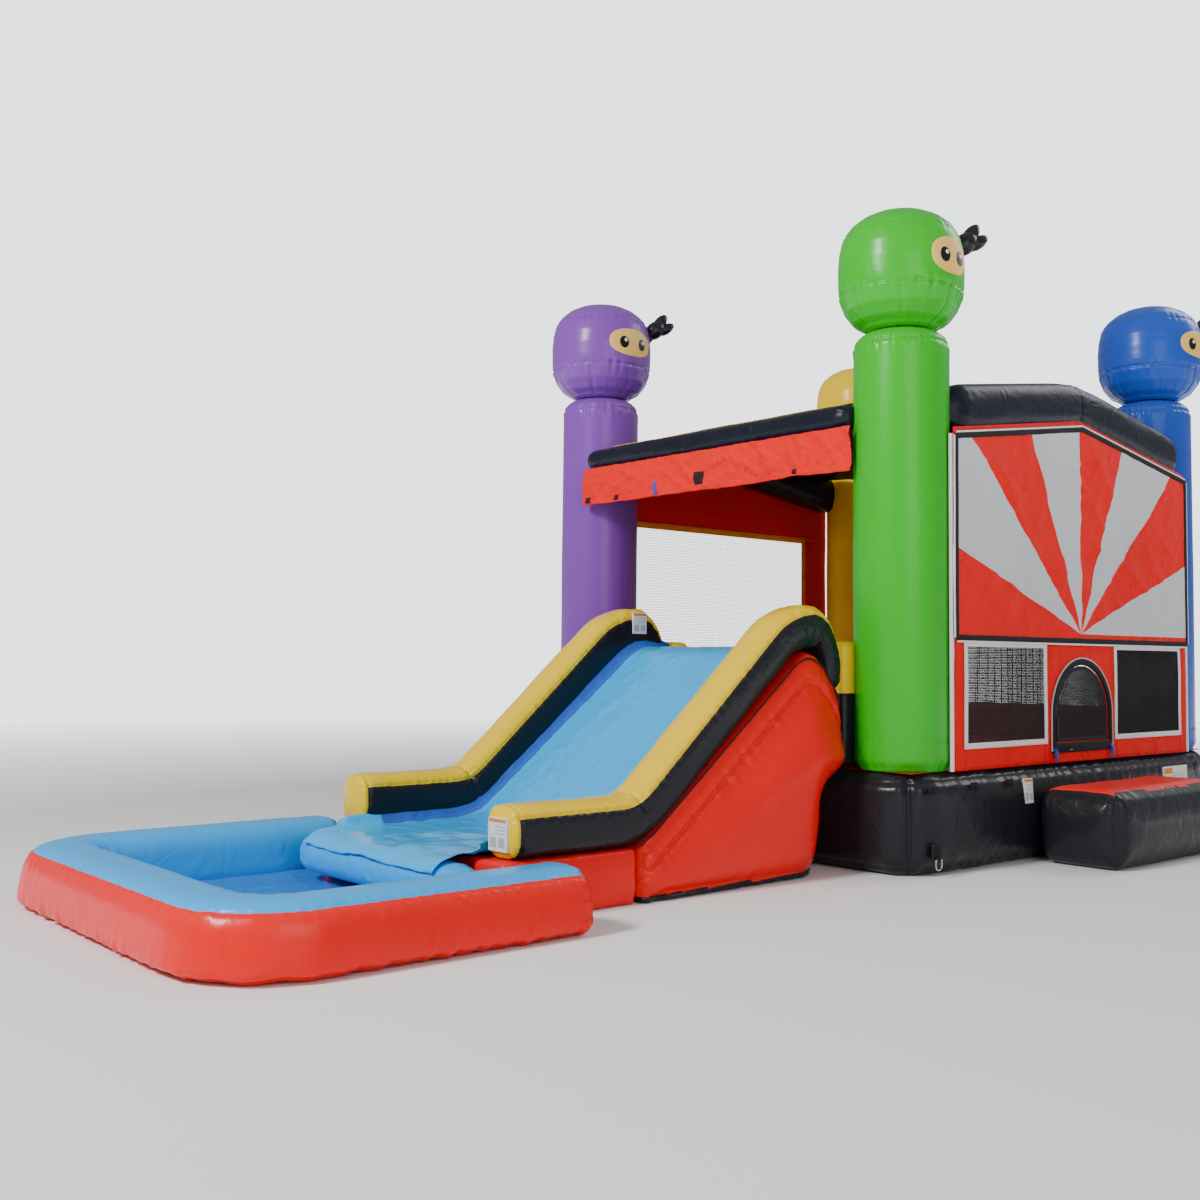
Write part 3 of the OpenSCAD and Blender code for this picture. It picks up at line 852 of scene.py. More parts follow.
        header = (0.04, 0.86, 0.96, 0.97, 1)
        rows = [(0.08, z, 0.62, z + 0.035, 2) for z in (0.72, 0.62, 0.52)]
        pictures = [(0.1, 0.12, 0.44, 0.42, 2), (0.56, 0.12, 0.9, 0.42, 2)]
        side = Matrix.Rotation(-pi / 2, 4, "Z")
        patch(
            0.105, 0.165, Matrix.Translation((1.926, -0.80, 0.472)) @ Matrix.Rotation(-0.06, 4, "Y") @ side,
            [header, *rows, *pictures]
        )
        patch(
            0.38, 0.2, Matrix.Translation((1.93, 1.24, 0.44)) @ side,
            [(0.62, 0.72, 0.96, 0.93, 1), *rows, *pictures]
        )
        patch(
            0.16, 0.17, Matrix.Translation((1.26, -4.609, 0.43)) @ Matrix.Rotation(pi, 4, "Z"),
            [header, *rows, *pictures]
        )
        patch(
            0.13, 0.15, Matrix.Translation((-0.26, -2.345, 1.585)) @ Matrix.Rotation(-pi / 2, 4, "Z"),
            [header, *rows, *pictures]
        )
        self.maker.piece(
            "plain_patches", joined(parts), ["patch_white_and_eye_highlight", "patch_orange", "patch_grey"], ["blank_patches"],
            slot="white_fabric", smooth=False
        )

    def sleeve(self) -> None:
        """Makes the wrinkled blower sleeve and the strap tied round it."""
        low, high = (Vector(c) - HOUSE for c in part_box("blower_sleeve"))
        middle = (low + high) / 2

        def place(u: float, v: float) -> Vector:
            """A point of the tube: outside, round the mouth and back along the inside."""
            y = low.y - 0.03 + (high.y - low.y + 0.03) * (1.0 - abs(2.0 * v - 1.0))
            angle = tau * u
            radius = 0.1265
            if v <= 0.5:
                crumple = 0.004 * wave(y * 14.0, cos(angle) * 2.0, sin(angle) * 2.0)
                radius = 0.131 + crumple - near(y - high.y + 0.111, 0.03) * 0.004
            return Vector((middle.x + radius * cos(angle), y, middle.z + radius * sin(angle)))

        self.maker.piece("blower_tube", bent_grid(96, 80, place, True), ["black_vinyl"], ["blower_sleeve"])

        def band(u: float, v: float) -> Vector:
            """A point of the strap, a flat loop with rounded edges."""
            a, b = rounded(tau * v, 0.002, 0.019, 4.0)
            angle = tau * u
            radius = 0.133 + a
            x, z = middle.x + radius * cos(angle), middle.z + radius * sin(angle)
            return Vector((x, high.y - 0.111 + b, z))

        strap = bent_grid(72, 16, band, True)
        tail = plain_box(
            (middle.x + 0.132, high.y - 0.127, middle.z - 0.16),
            (middle.x + 0.136, high.y - 0.095, middle.z + 0.02), 0.001
        )
        self.maker.piece("sleeve_tie", joined([strap, tail]), ["blue_webbing"], ["sleeve_strap"])

    def zip(self) -> None:
        """Makes the deflation zip: two tapes, a row of teeth and a pull."""
        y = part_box("zipper_track")[1][1] - HOUSE.y
        parts = [
            plain_box((0.2, y - 0.03, 0.298), (1.0, y - 0.001, 0.326), 0.002),
            plain_box((0.2, y - 0.03, 0.334), (1.0, y - 0.001, 0.362), 0.002)
        ]
        tooth = 0.2
        while tooth < 0.995:
            parts.append(plain_box((tooth, y - 0.004, 0.324), (tooth + 0.007, y, 0.336)))
            tooth += 0.012
        self.maker.piece("zip_tapes", joined(parts), ["black_webbing"], ["zipper_track"], smooth=False)
        low, high = (Vector(c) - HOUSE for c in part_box("zipper_slider"))
        body = plain_box((low.x, low.y, low.z + 0.03), (high.x, high.y, high.z), 0.003, 3)
        pull = plain_box(
            (low.x + 0.010, low.y + 0.0017, low.z), (low.x + 0.022, high.y - 0.002, low.z + 0.034), 0.0015, 3
        )
        self.maker.piece(
            "zip_pull", joined([body, pull]), ["steel"], ["zipper_slider"], body="zipper_slider"
        )


# ---------------------------------------------------------------- pillars and heads


@dataclass
class Pillar(Part):
    """One corner pillar with its hooded head, tail and eye patch."""

    hue: str
    at: Tuple[float, float]
    patch_half: Tuple[float, float]
    radius: float = 0.31
    neck: float = 3.478

    @property
    def finish(self) -> str:
        """The finish of the pillar's and the head's vinyl."""
        return f"{self.hue}_vinyl"

    def build(self) -> None:
        """Builds the pillar and everything on it."""
        self.shaft()
        self.head()
        self.patch()
        self.tail()

    def shaft(self) -> None:
        """Makes the upright tube, with a weld near its foot and a gathered top."""
        low = 0.631
        seed = self.at[0] * 3.0 + self.at[1]

        def place(u: float, v: float) -> Vector:
            """A point of the tube, from the middle of its foot to the middle of its top."""
            if v < 0.04:
                z, r = low, 0.285 * v / 0.04
            elif v > 0.88:
                t = (v - 0.88) / 0.12
                z = self.neck - 0.15 + 0.149 * sin(t * pi / 2) ** 0.9
                r = self.radius * max(cos(t * pi / 2), 0.0) ** 0.42
            else:
                t = (v - 0.04) / 0.84
                z = low + (self.neck - 0.15 - low) * t
                r = 0.285 + 0.025 * ease(t / 0.03)
            angle = tau * u
            along = self.radius * angle
            if 0.0 < r:
                side = ease((r - 0.12) / 0.1)
                weld = (
                    pucker(along, abs(z - 0.83), seed, 0.005, 0.035, 0.045) - 0.004 * near(z - 0.83, 0.006)
                )
                gather = pucker(along, abs(z - self.neck + 0.10), seed + 4.0, 0.012, 0.06, 0.03)
                foot = pucker(along, abs(z - 0.66), seed + 7.0, 0.008, 0.06, 0.05)
                seam = -0.004 * sum(
                    near(self.radius * remainder(angle - a, tau), 0.006) for a in (0.02, 1.59, 3.16, 4.73)
                )
                r += side * (
                    weld + gather + foot + seam + 0.003 * wave(cos(angle), sin(angle) + seed, z * 1.6)
                )
                r = min(r, 0.316)
            return Vector((self.at[0] + r * cos(angle), self.at[1] + r * sin(angle), z))

        self.maker.piece(
            f"pillar_tube_{self.hue}", bent_grid(160, 190, place, True), [self.finish],
            [f"pillar_{self.hue}"], fill=1.0
        )

    def skin(self, z: float) -> float:
        """The head's radius at a height above the neck, in metres."""
        marks = (
            (0.0, 0.205), (0.016, 0.242), (0.06, 0.312), (0.13, 0.368), (0.22, 0.400), (0.30, 0.408),
            (0.42, 0.410), (0.52, 0.402), (0.58, 0.388), (0.632, 0.366), (0.68, 0.333), (0.73, 0.272),
            (0.765, 0.200), (0.788, 0.120), (0.798, 0.0)
        )
        return profile(marks, z)

    def head(self) -> None:
        """Makes the round hood: a dome, a band and a bowl of gores that meets the neck."""
        seed = self.at[0] + self.at[1] * 5.0

        def place(u: float, v: float) -> Vector:
            """A point of the hood, from the middle of its neck to its crown."""
            if v < 0.03:
                z, r = 0.0, 0.205 * v / 0.03
            else:
                t = (v - 0.03) / 0.97
                z = 0.798 * (0.5 - 0.5 * cos(pi * t))
                r = self.skin(z) if t < 0.9999 else 0.0
            angle = tau * u
            along = 0.4 * angle
            lower = 1.0 - ease((z - 0.19) / 0.08)
            upper = ease((z - 0.62) / 0.05)
            gores = -0.011 * lower * near(0.4 * remainder(angle * 7.0, tau) / 7.0, 0.014) * ease(z / 0.05)
            crown = -0.006 * upper * near(0.4 * remainder(angle * 4.0, tau) / 4.0, 0.012) * ease(
                (0.79 - z) / 0.05
            )
            seam = pucker(along, abs(z - 0.245), seed, 0.014, 0.075 if z < 0.245 else 0.035, 0.036) * (
                1.0 if z < 0.255 else 0.6
            )
            seam += pucker(along, abs(z - 0.632), seed + 3.0, 0.010, 0.04, 0.032)
            neck = pucker(along, abs(z - 0.03), seed + 5.0, 0.010, 0.08, 0.04)
            if r > 0.0:
                r += (gores + crown + seam + neck) * ease(r / 0.15)
            return Vector((self.at[0] + r * cos(angle), self.at[1] + r * sin(angle), self.neck + z))

        bm = bent_grid(168, 110, place, True)
        self.maker.piece(f"hood_{self.hue}", bm, [self.finish], [f"head_{self.hue}"], fill=1.0)

    def on_head(self, side: float, z: float, lift: float) -> Vector:
        """The point of the hood's entrance side at a distance to the side and a height above the neck.

        Args:
            side: distance along +Y from the head's middle.
            z: height above the neck.
            lift: how far it stands off the skin.

        Returns:
            The point.
        """
        turn = side / 0.405
        r = self.skin(z) + lift
        return Vector((self.at[0] + r * cos(turn), self.at[1] + r * sin(turn), self.neck + z))

    def oval(self, side: float, z: float, half_w: float, half_h: float, lift: float, power: float) -> Mesh:
        """Makes a thin oval patch that lies on the hood.

        Args:
            side: its middle, along +Y.
            z: its middle, above the neck.
            half_w: half its width.
            half_h: half its height.
            lift: how far its face stands off the skin.
            power: how square it is.

        Returns:
            The mesh.
        """

        def place(u: float, v: float) -> Vector:
            """A point of the patch, whose rim turns down into the skin."""
            a, b = rounded(tau * u, half_w, half_h, power)
            share = min(v / 0.86, 1.0)
            sink = lift if v <= 0.86 else lift - (lift + 0.006) * (v - 0.86) / 0.14
            return self.on_head(side + a * share, z + b * share, sink)

        return bent_grid(48, 14, place, True)

    def patch(self) -> None:
        """Makes the tan patch and two plain round eyes on it; each eye has a small white oval on it, a
        painted highlight.
        """
        w, h = self.patch_half
        parts = [self.oval(0.0, 0.42, w, h, 0.006, 2.3)]
        marks = [0]
        for s in (-1, 1):
            parts.append(self.oval(s * w * 0.42, 0.415, 0.040, 0.048, 0.0085, 2.0))
            # a small white oval up and to one side on each eye: a painted highlight
            parts.append(self.oval(s * w * 0.42 + 0.012, 0.432, 0.012, 0.014, 0.0105, 2.0))
            marks += [1, 2]
        for part, mark in zip(parts, marks):
            stain(part, mark)
        nodes = ["eye_patches"] if self.hue == "green" else []
        self.maker.piece(
            f"eye_patch_{self.hue}", joined(parts), ["tan_vinyl", "eye_black", "patch_white_and_eye_highlight"], nodes
        )

    def tail(self) -> None:
        """Makes the black tied end of the hood: a thick root that splits in two blunt lobes."""
        parts = []
        turn = Matrix.Translation((self.at[0], self.at[1], self.neck + 0.556)) @ Matrix.Rotation(
            radians(60), 4, "Z"
        )
        for root, rise, lean0, bend, length, thick in (
            (0.355, 0.0, 0.55, 0.2, 0.22, 0.078), (0.425, 0.055, 0.80, 0.15, 0.195, 0.052),
            (0.440, 0.035, 0.36, 0.25, 0.200, 0.050)
        ):

            def place(u: float, v: float) -> Vector:
                """A point of one lobe, a fat teardrop that curves upward as it goes out."""
                spread = sin(pi * v ** 1.15) ** 0.55 if 0.0 < v < 1.0 else 0.0
                lean = lean0 + bend * v * 0.5
                along = length * v
                a, b = rounded(tau * u, thick * spread, thick * 0.9 * spread, 2.2)
                return Vector(
                    (root + along * cos(lean) - b * sin(lean), a, rise + along * sin(lean) + b * cos(lean))
                )

            parts.append(bent_grid(32, 30, place, True))
        knot = bmesh.new()
        bmesh.ops.create_uvsphere(knot, u_segments=28, v_segments=18, radius=0.052)
        press(knot, lambda p: 0.004 * wave(p.x * 40.0, p.y * 40.0, p.z * 40.0))
        shift(knot, (0.385, 0, 0))
        parts.append(knot)
        for part in parts:
            bmesh.ops.transform(part, matrix=turn, verts=part.verts)
        nodes = ["hood_tails"] if self.hue == "green" else []
        self.maker.piece(f"hood_knot_{self.hue}", joined(parts), ["black_vinyl"], nodes, fill=0.95)


# ---------------------------------------------------------------- the roof


@dataclass
class Roof(Part):
    """The peaked and straight beams, and the two slopes of the cover."""

    ridge: float = 3.318
    fall: float = 0.156
    eave: float = 2.785
    apex: float = 3.02
    face_x: float = 1.862
    face_y: float = 1.982
    reach: float = 1.80

    def build(self) -> None:
        """Builds the beams and the cover."""
        for sign, name in ((1, "entrance"), (-1, "rear")):
            self.peaked(sign, name)
        for sign, name in ((-1, "slide"), (1, "back")):
            self.straight(sign, name)
            self.cover(sign, name)

    def peaked(self, sign: int, name: str) -> None:
        """Makes a beam that rises to the ridge, with gathers at its ends and its peak.

        Args:
            sign: 1 on the entrance side, -1 on the other.
            name: the side's name.
        """
        middle = sign * (self.face_x - 0.121)

        def place(u: float, v: float) -> Vector:
            """A point of the beam, rounded off at both ends."""
            y = -1.555 + 3.11 * v
            end = 1.0 - max(0.0, (abs(y) - 1.37) / 0.185)
            squeeze = sqrt(max(1.0 - (1.0 - end) ** 2, 0.0)) if end < 1.0 else 1.0
            peak = near(y, 0.16)
            low = self.eave + (self.apex - self.eave) * (1.0 - abs(y) / BAY_HALF) - 0.012 * peak
            high = self.ridge + 0.045 - self.fall * abs(y) - 0.012 * peak
            angle = tau * u
            a, b = rounded(angle, 0.147 * squeeze, (high - low) / 2 * squeeze, 2.9)
            fold = pucker(angle * 0.12, abs(y), 3.0 + sign, 0.009, 0.10, 0.05)
            fold += pucker(angle * 0.12, 1.5 - abs(y), 6.0 + sign, 0.010, 0.12, 0.05)
            fold += 0.005 * wave(y * 2.4, cos(angle) * 1.2, sin(angle) * 1.2 + sign)
            grow = 1.0 + fold / 0.15 * squeeze
            return Vector((middle + a * min(grow, 1.02), y, (low + high) / 2 + b * min(grow, 1.0)))

        self.maker.piece(
            f"peaked_beam_{name}", bent_grid(84, 190, place, True), ["navy_vinyl"], [f"beam_{name}"],
            fill=0.95
        )

    def straight(self, sign: int, name: str) -> None:
        """Makes a level beam with rounded ends.

        Args:
            sign: 1 on the back, -1 over the slide.
            name: the side's name.
        """
        high = self.ridge - self.fall * self.face_y - 0.004
        low = 2.832
        middle = sign * (self.face_y - 0.111)

        def place(u: float, v: float) -> Vector:
            """A point of the beam."""
            x = -1.36 + 2.73 * v
            end = max(0.0, (abs(x) - 1.28) / 0.09)
            squeeze = sqrt(max(1.0 - min(end, 1.0) ** 2, 0.0))
            angle = tau * u
            a, b = rounded(angle, 0.128 * squeeze, (high - low) / 2 * squeeze, 3.0)
            fold = pucker(angle * 0.1, 1.30 - abs(x), 2.0 + sign, 0.008, 0.10, 0.04)
            fold += (
                0.008 * wave(x * 2.2, cos(angle), sin(angle) + sign)
                + 0.009 * near(wave(x * 1.3, 4.0, sign * 3.0) - 0.2, 0.12) * wave(
                    x * 24.0, cos(angle) * 2.0, 1.0
                )
            )
            grow = 1.0 + fold / 0.13 * squeeze
            return Vector((x, middle + a * min(grow, 1.02), (low + high) / 2 + b * min(grow, 1.0)))

        self.maker.piece(
            f"straight_beam_{name}", bent_grid(64, 170, place, True), ["navy_vinyl"], [f"beam_{name}"],
            fill=0.95
        )

    def cover(self, sign: int, name: str) -> None:
        """Makes one slope of the roof cover, with a yellow strip along its eave.

        Args:
            sign: 1 on the back, -1 on the slide side.
            name: the side's name.
        """

        def place(u: float, v: float) -> Vector:
            """A point of the sheet, which sags a little between its beams."""
            y = self.reach * v
            half = self.face_x - 0.15 - 0.48 * ease((y - 1.28) / 0.10)
            x = half * (2 * u - 1)
            sag = -0.030 * sin(pi * min(v, 1.0)) * (1.0 - (x / 1.9) ** 4) * ease((1.55 - abs(x)) / 0.3)
            ripple = (
                0.004 * wave(x * 1.6, y * 3.0, sign * 2.0)
                + 0.003 * wave(x * 7.0, y * 2.0, 4.0) * near(v - 1.0, 0.2)
            )
            return Vector(
                (
                    x, sign * y,
                    self.ridge + 0.009 - self.fall * y + sag + ripple - 0.006 * ease((y - 1.69) / 0.1)
                )
            )

        bm = bent_grid(120, 66, place)
        thicken(bm, 0.004)

        def strip(face: Face) -> int:
            """Yellow along the eave, navy elsewhere."""
            return 1 if abs(face.calc_center_median().y) > self.reach - 0.05 else 0

        made = self.maker.piece(
            f"roof_cover_{name}", bm, ["navy_vinyl", "yellow_vinyl"], [f"roof_panel_{name}"], choose=strip
        )


# ---------------------------------------------------------------- walls


def creases(y: float, z: float, seed: float) -> float:
    """Sharp folds of slack cloth, which run at several slants."""
    fold = (
        0.011 * near(abs(wave(y * 2.6 + z * 1.6, z * 1.5, seed)), 0.16)
        + 0.008 * near(abs(wave(y * 4.5 - z * 3.5, z * 2.0, seed + 3.0)), 0.2)
    )
    return fold + 0.004 * near(abs(wave(y * 9.0 + z * 8.0, z * 6.0, seed + 6.0)), 0.25)


def billow(y: float, z: float, seed: float) -> float:
    """How far hung cloth stands out at a place: slow swells with drawn folds between them."""
    swell_out = 0.010 * wave(y * 1.1, z * 1.3, seed)
    folds = 0.0045 * wave(y * 4.5 + z * 2.0, z * 3.0, seed + 2.0)
    fine = 0.0018 * wave(y * 16.0 - z * 9.0, z * 12.0, seed + 5.0)
    return swell_out + folds + fine


def net(
    low: Tuple[float, float], high: Tuple[float, float], pitch: float, thick: float,
    across: Callable[[float, float], Vector], limit: Optional[Callable[[float], float]] = None
) -> Mesh:
    """Makes a knotted net of thin cords.

    Args:
        low: its lowest corner in its own plane.
        high: its highest corner.
        pitch: the distance between cords.
        thick: a cord's thickness.
        across: gives the place in the castle's frame for a point of the plane.
        limit: gives the net's top for a place along it, where it isn't level.

    Returns:
        The mesh.
    """
    bm = bmesh.new()

    def cord_run(a: Tuple[float, float], b: Tuple[float, float]) -> None:
        """Adds one straight cord between two points of the plane."""
        start, end = across(*a), across(*b)
        run = end - start
        frame_at = run.to_track_quat("Z", "X").to_matrix().to_4x4()
        bmesh.ops.create_cone(
            bm, cap_ends=False, segments=4, radius1=thick / 2, radius2=thick / 2, depth=run.length,
            matrix=Matrix.Translation((start + end) / 2) @ frame_at,
        )

    columns = int((high[0] - low[0]) / pitch)
    for i in range(columns + 1):
        s = low[0] + (high[0] - low[0]) * (i + 0.5) / (columns + 1)
        cord_run((s, low[1]), (s, limit(s) if limit else high[1]))
    rows = int((high[1] - low[1]) / pitch)
    for i in range(rows + 1):
        t = low[1] + (high[1] - low[1]) * (i + 0.5) / (rows + 1)
        ends = [low[0], high[0]]
        if limit:
            inside = [
                low[0] + (high[0] - low[0]) * k / 200 for k in range(201)
                if limit(low[0] + (high[0] - low[0]) * k / 200) >= t
            ]
            if len(inside) < 2:
                continue
            ends = [inside[0], inside[-1]]
        cord_run((ends[0], t), (ends[1], t))
    return bm


def frame_band(outer: Tuple[float, float, float, float], width: float, depth: float, cell: float) -> Mesh:
    """Makes a flat soft band round a rectangle, in the plane of Y and Z.

    Args:
        outer: low Y, low Z, high Y and high Z of its outer edge.
        width: the band's width.
        depth: how far it stands out along +X.
        cell: the length of its cells.

    Returns:
        The mesh, with its back at X zero.
    """
    y0, z0, y1, z1 = outer
    corners = [(y0, z0), (y1, z0), (y1, z1), (y0, z1), (y0, z0)]
    parts = []
    for (ya, za), (yb, zb) in zip(corners, corners[1:]):
        length = hypot(yb - ya, zb - za)
        dy, dz = (yb - ya) / length, (zb - za) / length

        def place(u: float, v: float) -> Vector:
            """A point of one side: a low rounded strip, mitred at its ends."""
            a, b = rounded(tau * u, width / 2, depth / 2, 3.0)
            inset = width / 2 + a
            s = inset + (length - 2 * inset) * v
            b *= 1.0 + 0.25 * wave(s * 9.0, ya + za, 2.0)
            return Vector((depth / 2 + b, ya + dy * s - dz * inset, za + dz * s + dy * inset))

        parts.append(bent_grid(12, max(4, round(length / cell)), place, True))
    return joined(parts)


@dataclass
class EntranceSide(Part):
    """The red wall with its banner, windows, arch and net flap."""

    face: float = 1.862
    thick: float = 0.018
    door_y: float = -0.02
    door_r: float = 0.36
    sill: float = 0.77
    spring: float = 0.95
    window_z: Tuple[float, float] = (0.79, 1.44)
    windows: Tuple[Tuple[float, float], ...] = ((-1.43, -0.50), (0.455, 1.43))
    half: float = 1.55
    eave: float = 2.775

    def build(self) -> None:
        """Builds the wall and everything on it."""
        self.wall()
        self.banner()
        self.window_nets()
        self.arch()
        self.flap()
        self.straps()

    def on_cloth(self, y: float, z: float) -> Vector:
        """The point of the red cloth at a place along it and a height."""
        return Vector((self.face + 0.010 + 0.6 * billow(y, z, 1.0), y, z))

    def wall(self) -> None:
        """Makes the red cloth round the openings, in strips that share one set of folds."""
        z_low, z_mid = FLOOR_TOP, 1.50
        (a0, a1), (b0, b1) = self.windows
        w0, w1 = self.window_z
        door0, door1 = self.door_y - 0.42, self.door_y + 0.42

        def cloth(y0: float, y1: float, z0: float, z1: float) -> Mesh:
            """A strip of the wall between two places along it and two heights."""

            def place(u: float, v: float) -> Vector:
                """A point of the strip."""
                y, z = y0 + (y1 - y0) * u, z0 + (z1 - z0) * v
                return self.on_cloth(y, z)

            return bent_grid(max(3, round((y1 - y0) / 0.03)), max(3, round((z1 - z0) / 0.03)), place)

        def round_door(u: float, v: float) -> Vector:
            """A point of the cloth between the arch and the square round it."""
            ay, az, oy, oz = self.arch_point(u, 0.0) + self.square_point(u, door0, door1, z_low, z_mid)
            y, z = ay + (oy - ay) * v, az + (oz - az) * v
            return self.on_cloth(y, z)

        parts = [
            cloth(-self.half, a0, z_low, z_mid), cloth(a0, a1, z_low, w0), cloth(a0, a1, w1, z_mid),
            cloth(a1, door0, z_low, z_mid), cloth(door1, b0, z_low, z_mid), cloth(b0, b1, z_low, w0),
            cloth(b0, b1, w1, z_mid), cloth(b1, self.half, z_low, z_mid),
            cloth(-self.half, self.half, z_mid, self.eave), bent_grid(96, 8, round_door),
        ]

        def gable(u: float, v: float) -> Vector:
            """A point of the low triangle over the eaves."""
            y = -self.half + 2 * self.half * u
            z = self.eave + (0.055 + 0.24 * (1.0 - abs(y) / BAY_HALF)) * v
            return self.on_cloth(y, z)

        parts.append(bent_grid(60, 6, gable))
        bm = joined(parts)
        for f in bm.faces:
            f.normal_update()
            if f.normal.x < 0:
                f.normal_flip()
        thicken(bm, 0.005)
        cords = []
        for side in (-1, 1):
            cords.append(
                bent_grid(
                    12, 50,
                    lambda u, v: Vector(
                        (
                            self.face + 0.004 + 0.013 * cos(tau * u), side * 1.572 + 0.018 * sin(tau * u),
                            0.634 + 2.15 * v
                        )
                    ),
                    True
                )
            )
        self.maker.piece("wall_edge_piping", joined(cords), ["white_fabric"])
        wall = self.maker.piece("entrance_cloth", bm, ["red_fabric"], ["entrance_wall"])

    def arch_point(self, u: float, grow: float) -> Tuple[float, float]:
        """A point of the doorway's edge.

        Args:
            u: share of the way round it, from the middle of its sill.
            grow: how far outside the edge it lies.

        Returns:
            Its Y and Z.
        """
        r = self.door_r + grow
        low = self.sill - grow
        rise = self.spring - low
        runs = [r, rise, pi * r, rise, r]
        s = u * sum(runs)
        if s <= runs[0]:
            return self.door_y + s, low
        s -= runs[0]
        if s <= runs[1]:
            return self.door_y + r, low + s
        s -= runs[1]
        if s <= runs[2]:
            return self.door_y + r * cos(s / r), self.spring + r * sin(s / r)
        s -= runs[2]
        if s <= runs[3]:
            return self.door_y - r, self.spring - s
        s -= runs[3]
        return self.door_y - r + s, low

    def square_point(self, u: float, y0: float, y1: float, z0: float, z1: float) -> Tuple[float, float]:
        """A point of a rectangle in the same direction from the doorway's middle as an arch point.

        Args:
            u: share of the way round.
            y0: low Y.
            y1: high Y.
            z0: low Z.
            z1: high Z.

        Returns:
            Its Y and Z.
        """
        y, z = self.arch_point(u, 0.0)
        cy, cz = self.door_y, 1.0
        dy, dz = y - cy, z - cz
        scale = min(
            (y1 - cy) / dy if dy > 1e-9 else (y0 - cy) / dy if dy < -1e-9 else 1e9,
            (z1 - cz) / dz if dz > 1e-9 else (z0 - cz) / dz if dz < -1e-9 else 1e9,
        )
        return cy + dy * scale, cz + dz * scale

    def banner(self) -> None:
        """Makes the ray banner and the black border that holds it."""
        low, side = 1.48, 1.545
        start = self.face + self.thick

        def top(y: float) -> float:
            """The banner's upper edge."""
            return 2.771 + 0.235 * (1.0 - abs(y) / BAY_HALF)

        def place(u: float, v: float) -> Vector:
            """A point of the banner, drawn tight at its edge and loose inside it."""
            y = -side + 2 * side * u
            z = low + (top(y) - low) * v
            loose = min(1.0, 9.0 * min(u, 1 - u, v, 1 - v))
            drawn = 0.004 * wave(y * 9.0, z * 1.2, 3.0) * near(min(v, 1 - v), 0.25)
            return Vector(
                (start + 0.010 + loose * 1.5 * billow(y, z, 8.0) + drawn + loose * creases(y, z, 2.0), y, z)
            )

        bm = bent_grid(150, 72, place)
        for f in bm.faces:
            if f.normal.x < 0:
                f.normal_flip()
        thicken(bm, 0.003)
        banner = self.maker.piece("ray_banner", bm, ["ray_banner"], ["art_panel"], slot="white_fabric")
        corners = [
            (-side, low), (side, low), (side, top(side)), (0.0, top(0.0)), (-side, top(side)), (-side, low)
        ]
        parts = []
        for finish, width, inset, depth in ((0, 0.040, 0.0, 0.010), (1, 0.016, -0.022, 0.007)):
            for (ya, za), (yb, zb) in zip(corners, corners[1:]):
                run = hypot(yb - ya, zb - za)
                dy, dz = (yb - ya) / run, (zb - za) / run

                def edge(u: float, v: float) -> Vector:
                    """A point of one side of the border."""
                    a, b = rounded(tau * u, width / 2, depth / 2, 3.0)
                    s = run * v
                    y, z = ya + dy * s - dz * (inset + a), za + dz * s + dy * (inset + a)
                    return Vector((start + 0.011 + b + 0.3 * billow(y, z, 8.0), y, z))

                part = bent_grid(10, max(6, round(run / 0.03)), edge, True)
                stain(part, finish)
                parts.append(part)
        border = self.maker.piece("banner_border", joined(parts), ["black_webbing", "white_fabric"])

    def window_nets(self) -> None:
        """Makes the nets of the two windows and their white bindings."""
        nets, bands = [], []
        w0, w1 = self.window_z
        for y0, y1 in self.windows:
            nets.append(
                net(
                    (y0, w0), (y1, w1), 0.011, 0.0060,
                    lambda s, t: Vector((self.face + 0.008 + 0.5 * billow(s, t, 1.0), s, t))
                )
            )
            band = frame_band((y0 - 0.022, w0 - 0.022, y1 + 0.022, w1 + 0.022), 0.038, 0.008, 0.03)
            tilt(band, lambda p: Vector((p.x + self.face + 0.011 + 0.6 * billow(p.y, p.z, 1.0), p.y, p.z)))
            bands.append(band)
        self.maker.piece("window_nets", joined(nets), ["mesh"], ["window_meshes"], smooth=False)
        self.maker.piece("window_bindings", joined(bands), ["white_fabric"], ["window_trims"])

    def arch(self) -> None:
        """Makes the black binding of the doorway, the grey piping in it and the threshold."""

        def loop(grow: float, half_w: float, half_d: float, lift: float, cells: int) -> Mesh:
            """A soft band that runs round the doorway."""

            def place(u: float, v: float) -> Vector:
                """A point of the band."""
                a, b = rounded(tau * v, half_w, half_d, 2.6)
                y, z = self.arch_point(u, grow + a)
                x = self.face + lift + b * (1.0 + 0.2 * wave(u * 40.0, grow, 1.0)) + 0.6 * billow(y, z, 1.0)
                return Vector((x, y, z))

            return bent_grid(cells, 14, place, True)

        black = loop(0.022, 0.022, 0.009, 0.018, 170)
        grey = loop(0.050, 0.0055, 0.006, 0.018, 170)
        sill_band = plain_box(
            (self.face + 0.010, self.door_y - 0.40, 0.70), (self.face + 0.026, self.door_y + 0.40, 0.745),
            0.006
        )
        stain(grey, 1)
        hems = []
        for low in (0.80, 0.88):
            hem = bent_grid(
                24, 3,
                lambda u, v: Vector(
                    (
                        HINGE[0] + 0.0062 * sin(radians(125 + 220 * u)),
                        HINGE[1] + 0.0062 * cos(radians(125 + 220 * u)), low + 0.04 * v
                    )
                )
            )
            thicken(hem, 0.001)
            hems.append(hem)
        self.maker.piece(
            "arch_binding", joined([black, grey, sill_band, *hems]), ["black_webbing", "patch_grey"],
            ["door_trim"]
        )

    def flap(self) -> None:
        """Makes the net flap in the doorway, with a black hem."""
        r = self.door_r - 0.006
        x = self.face + 0.0085

        def top(s: float) -> float:
            """The flap's upper edge at a place along it."""
            d = abs(s - self.door_y)
            return self.spring + sqrt(max(r * r - d * d, 0.0))

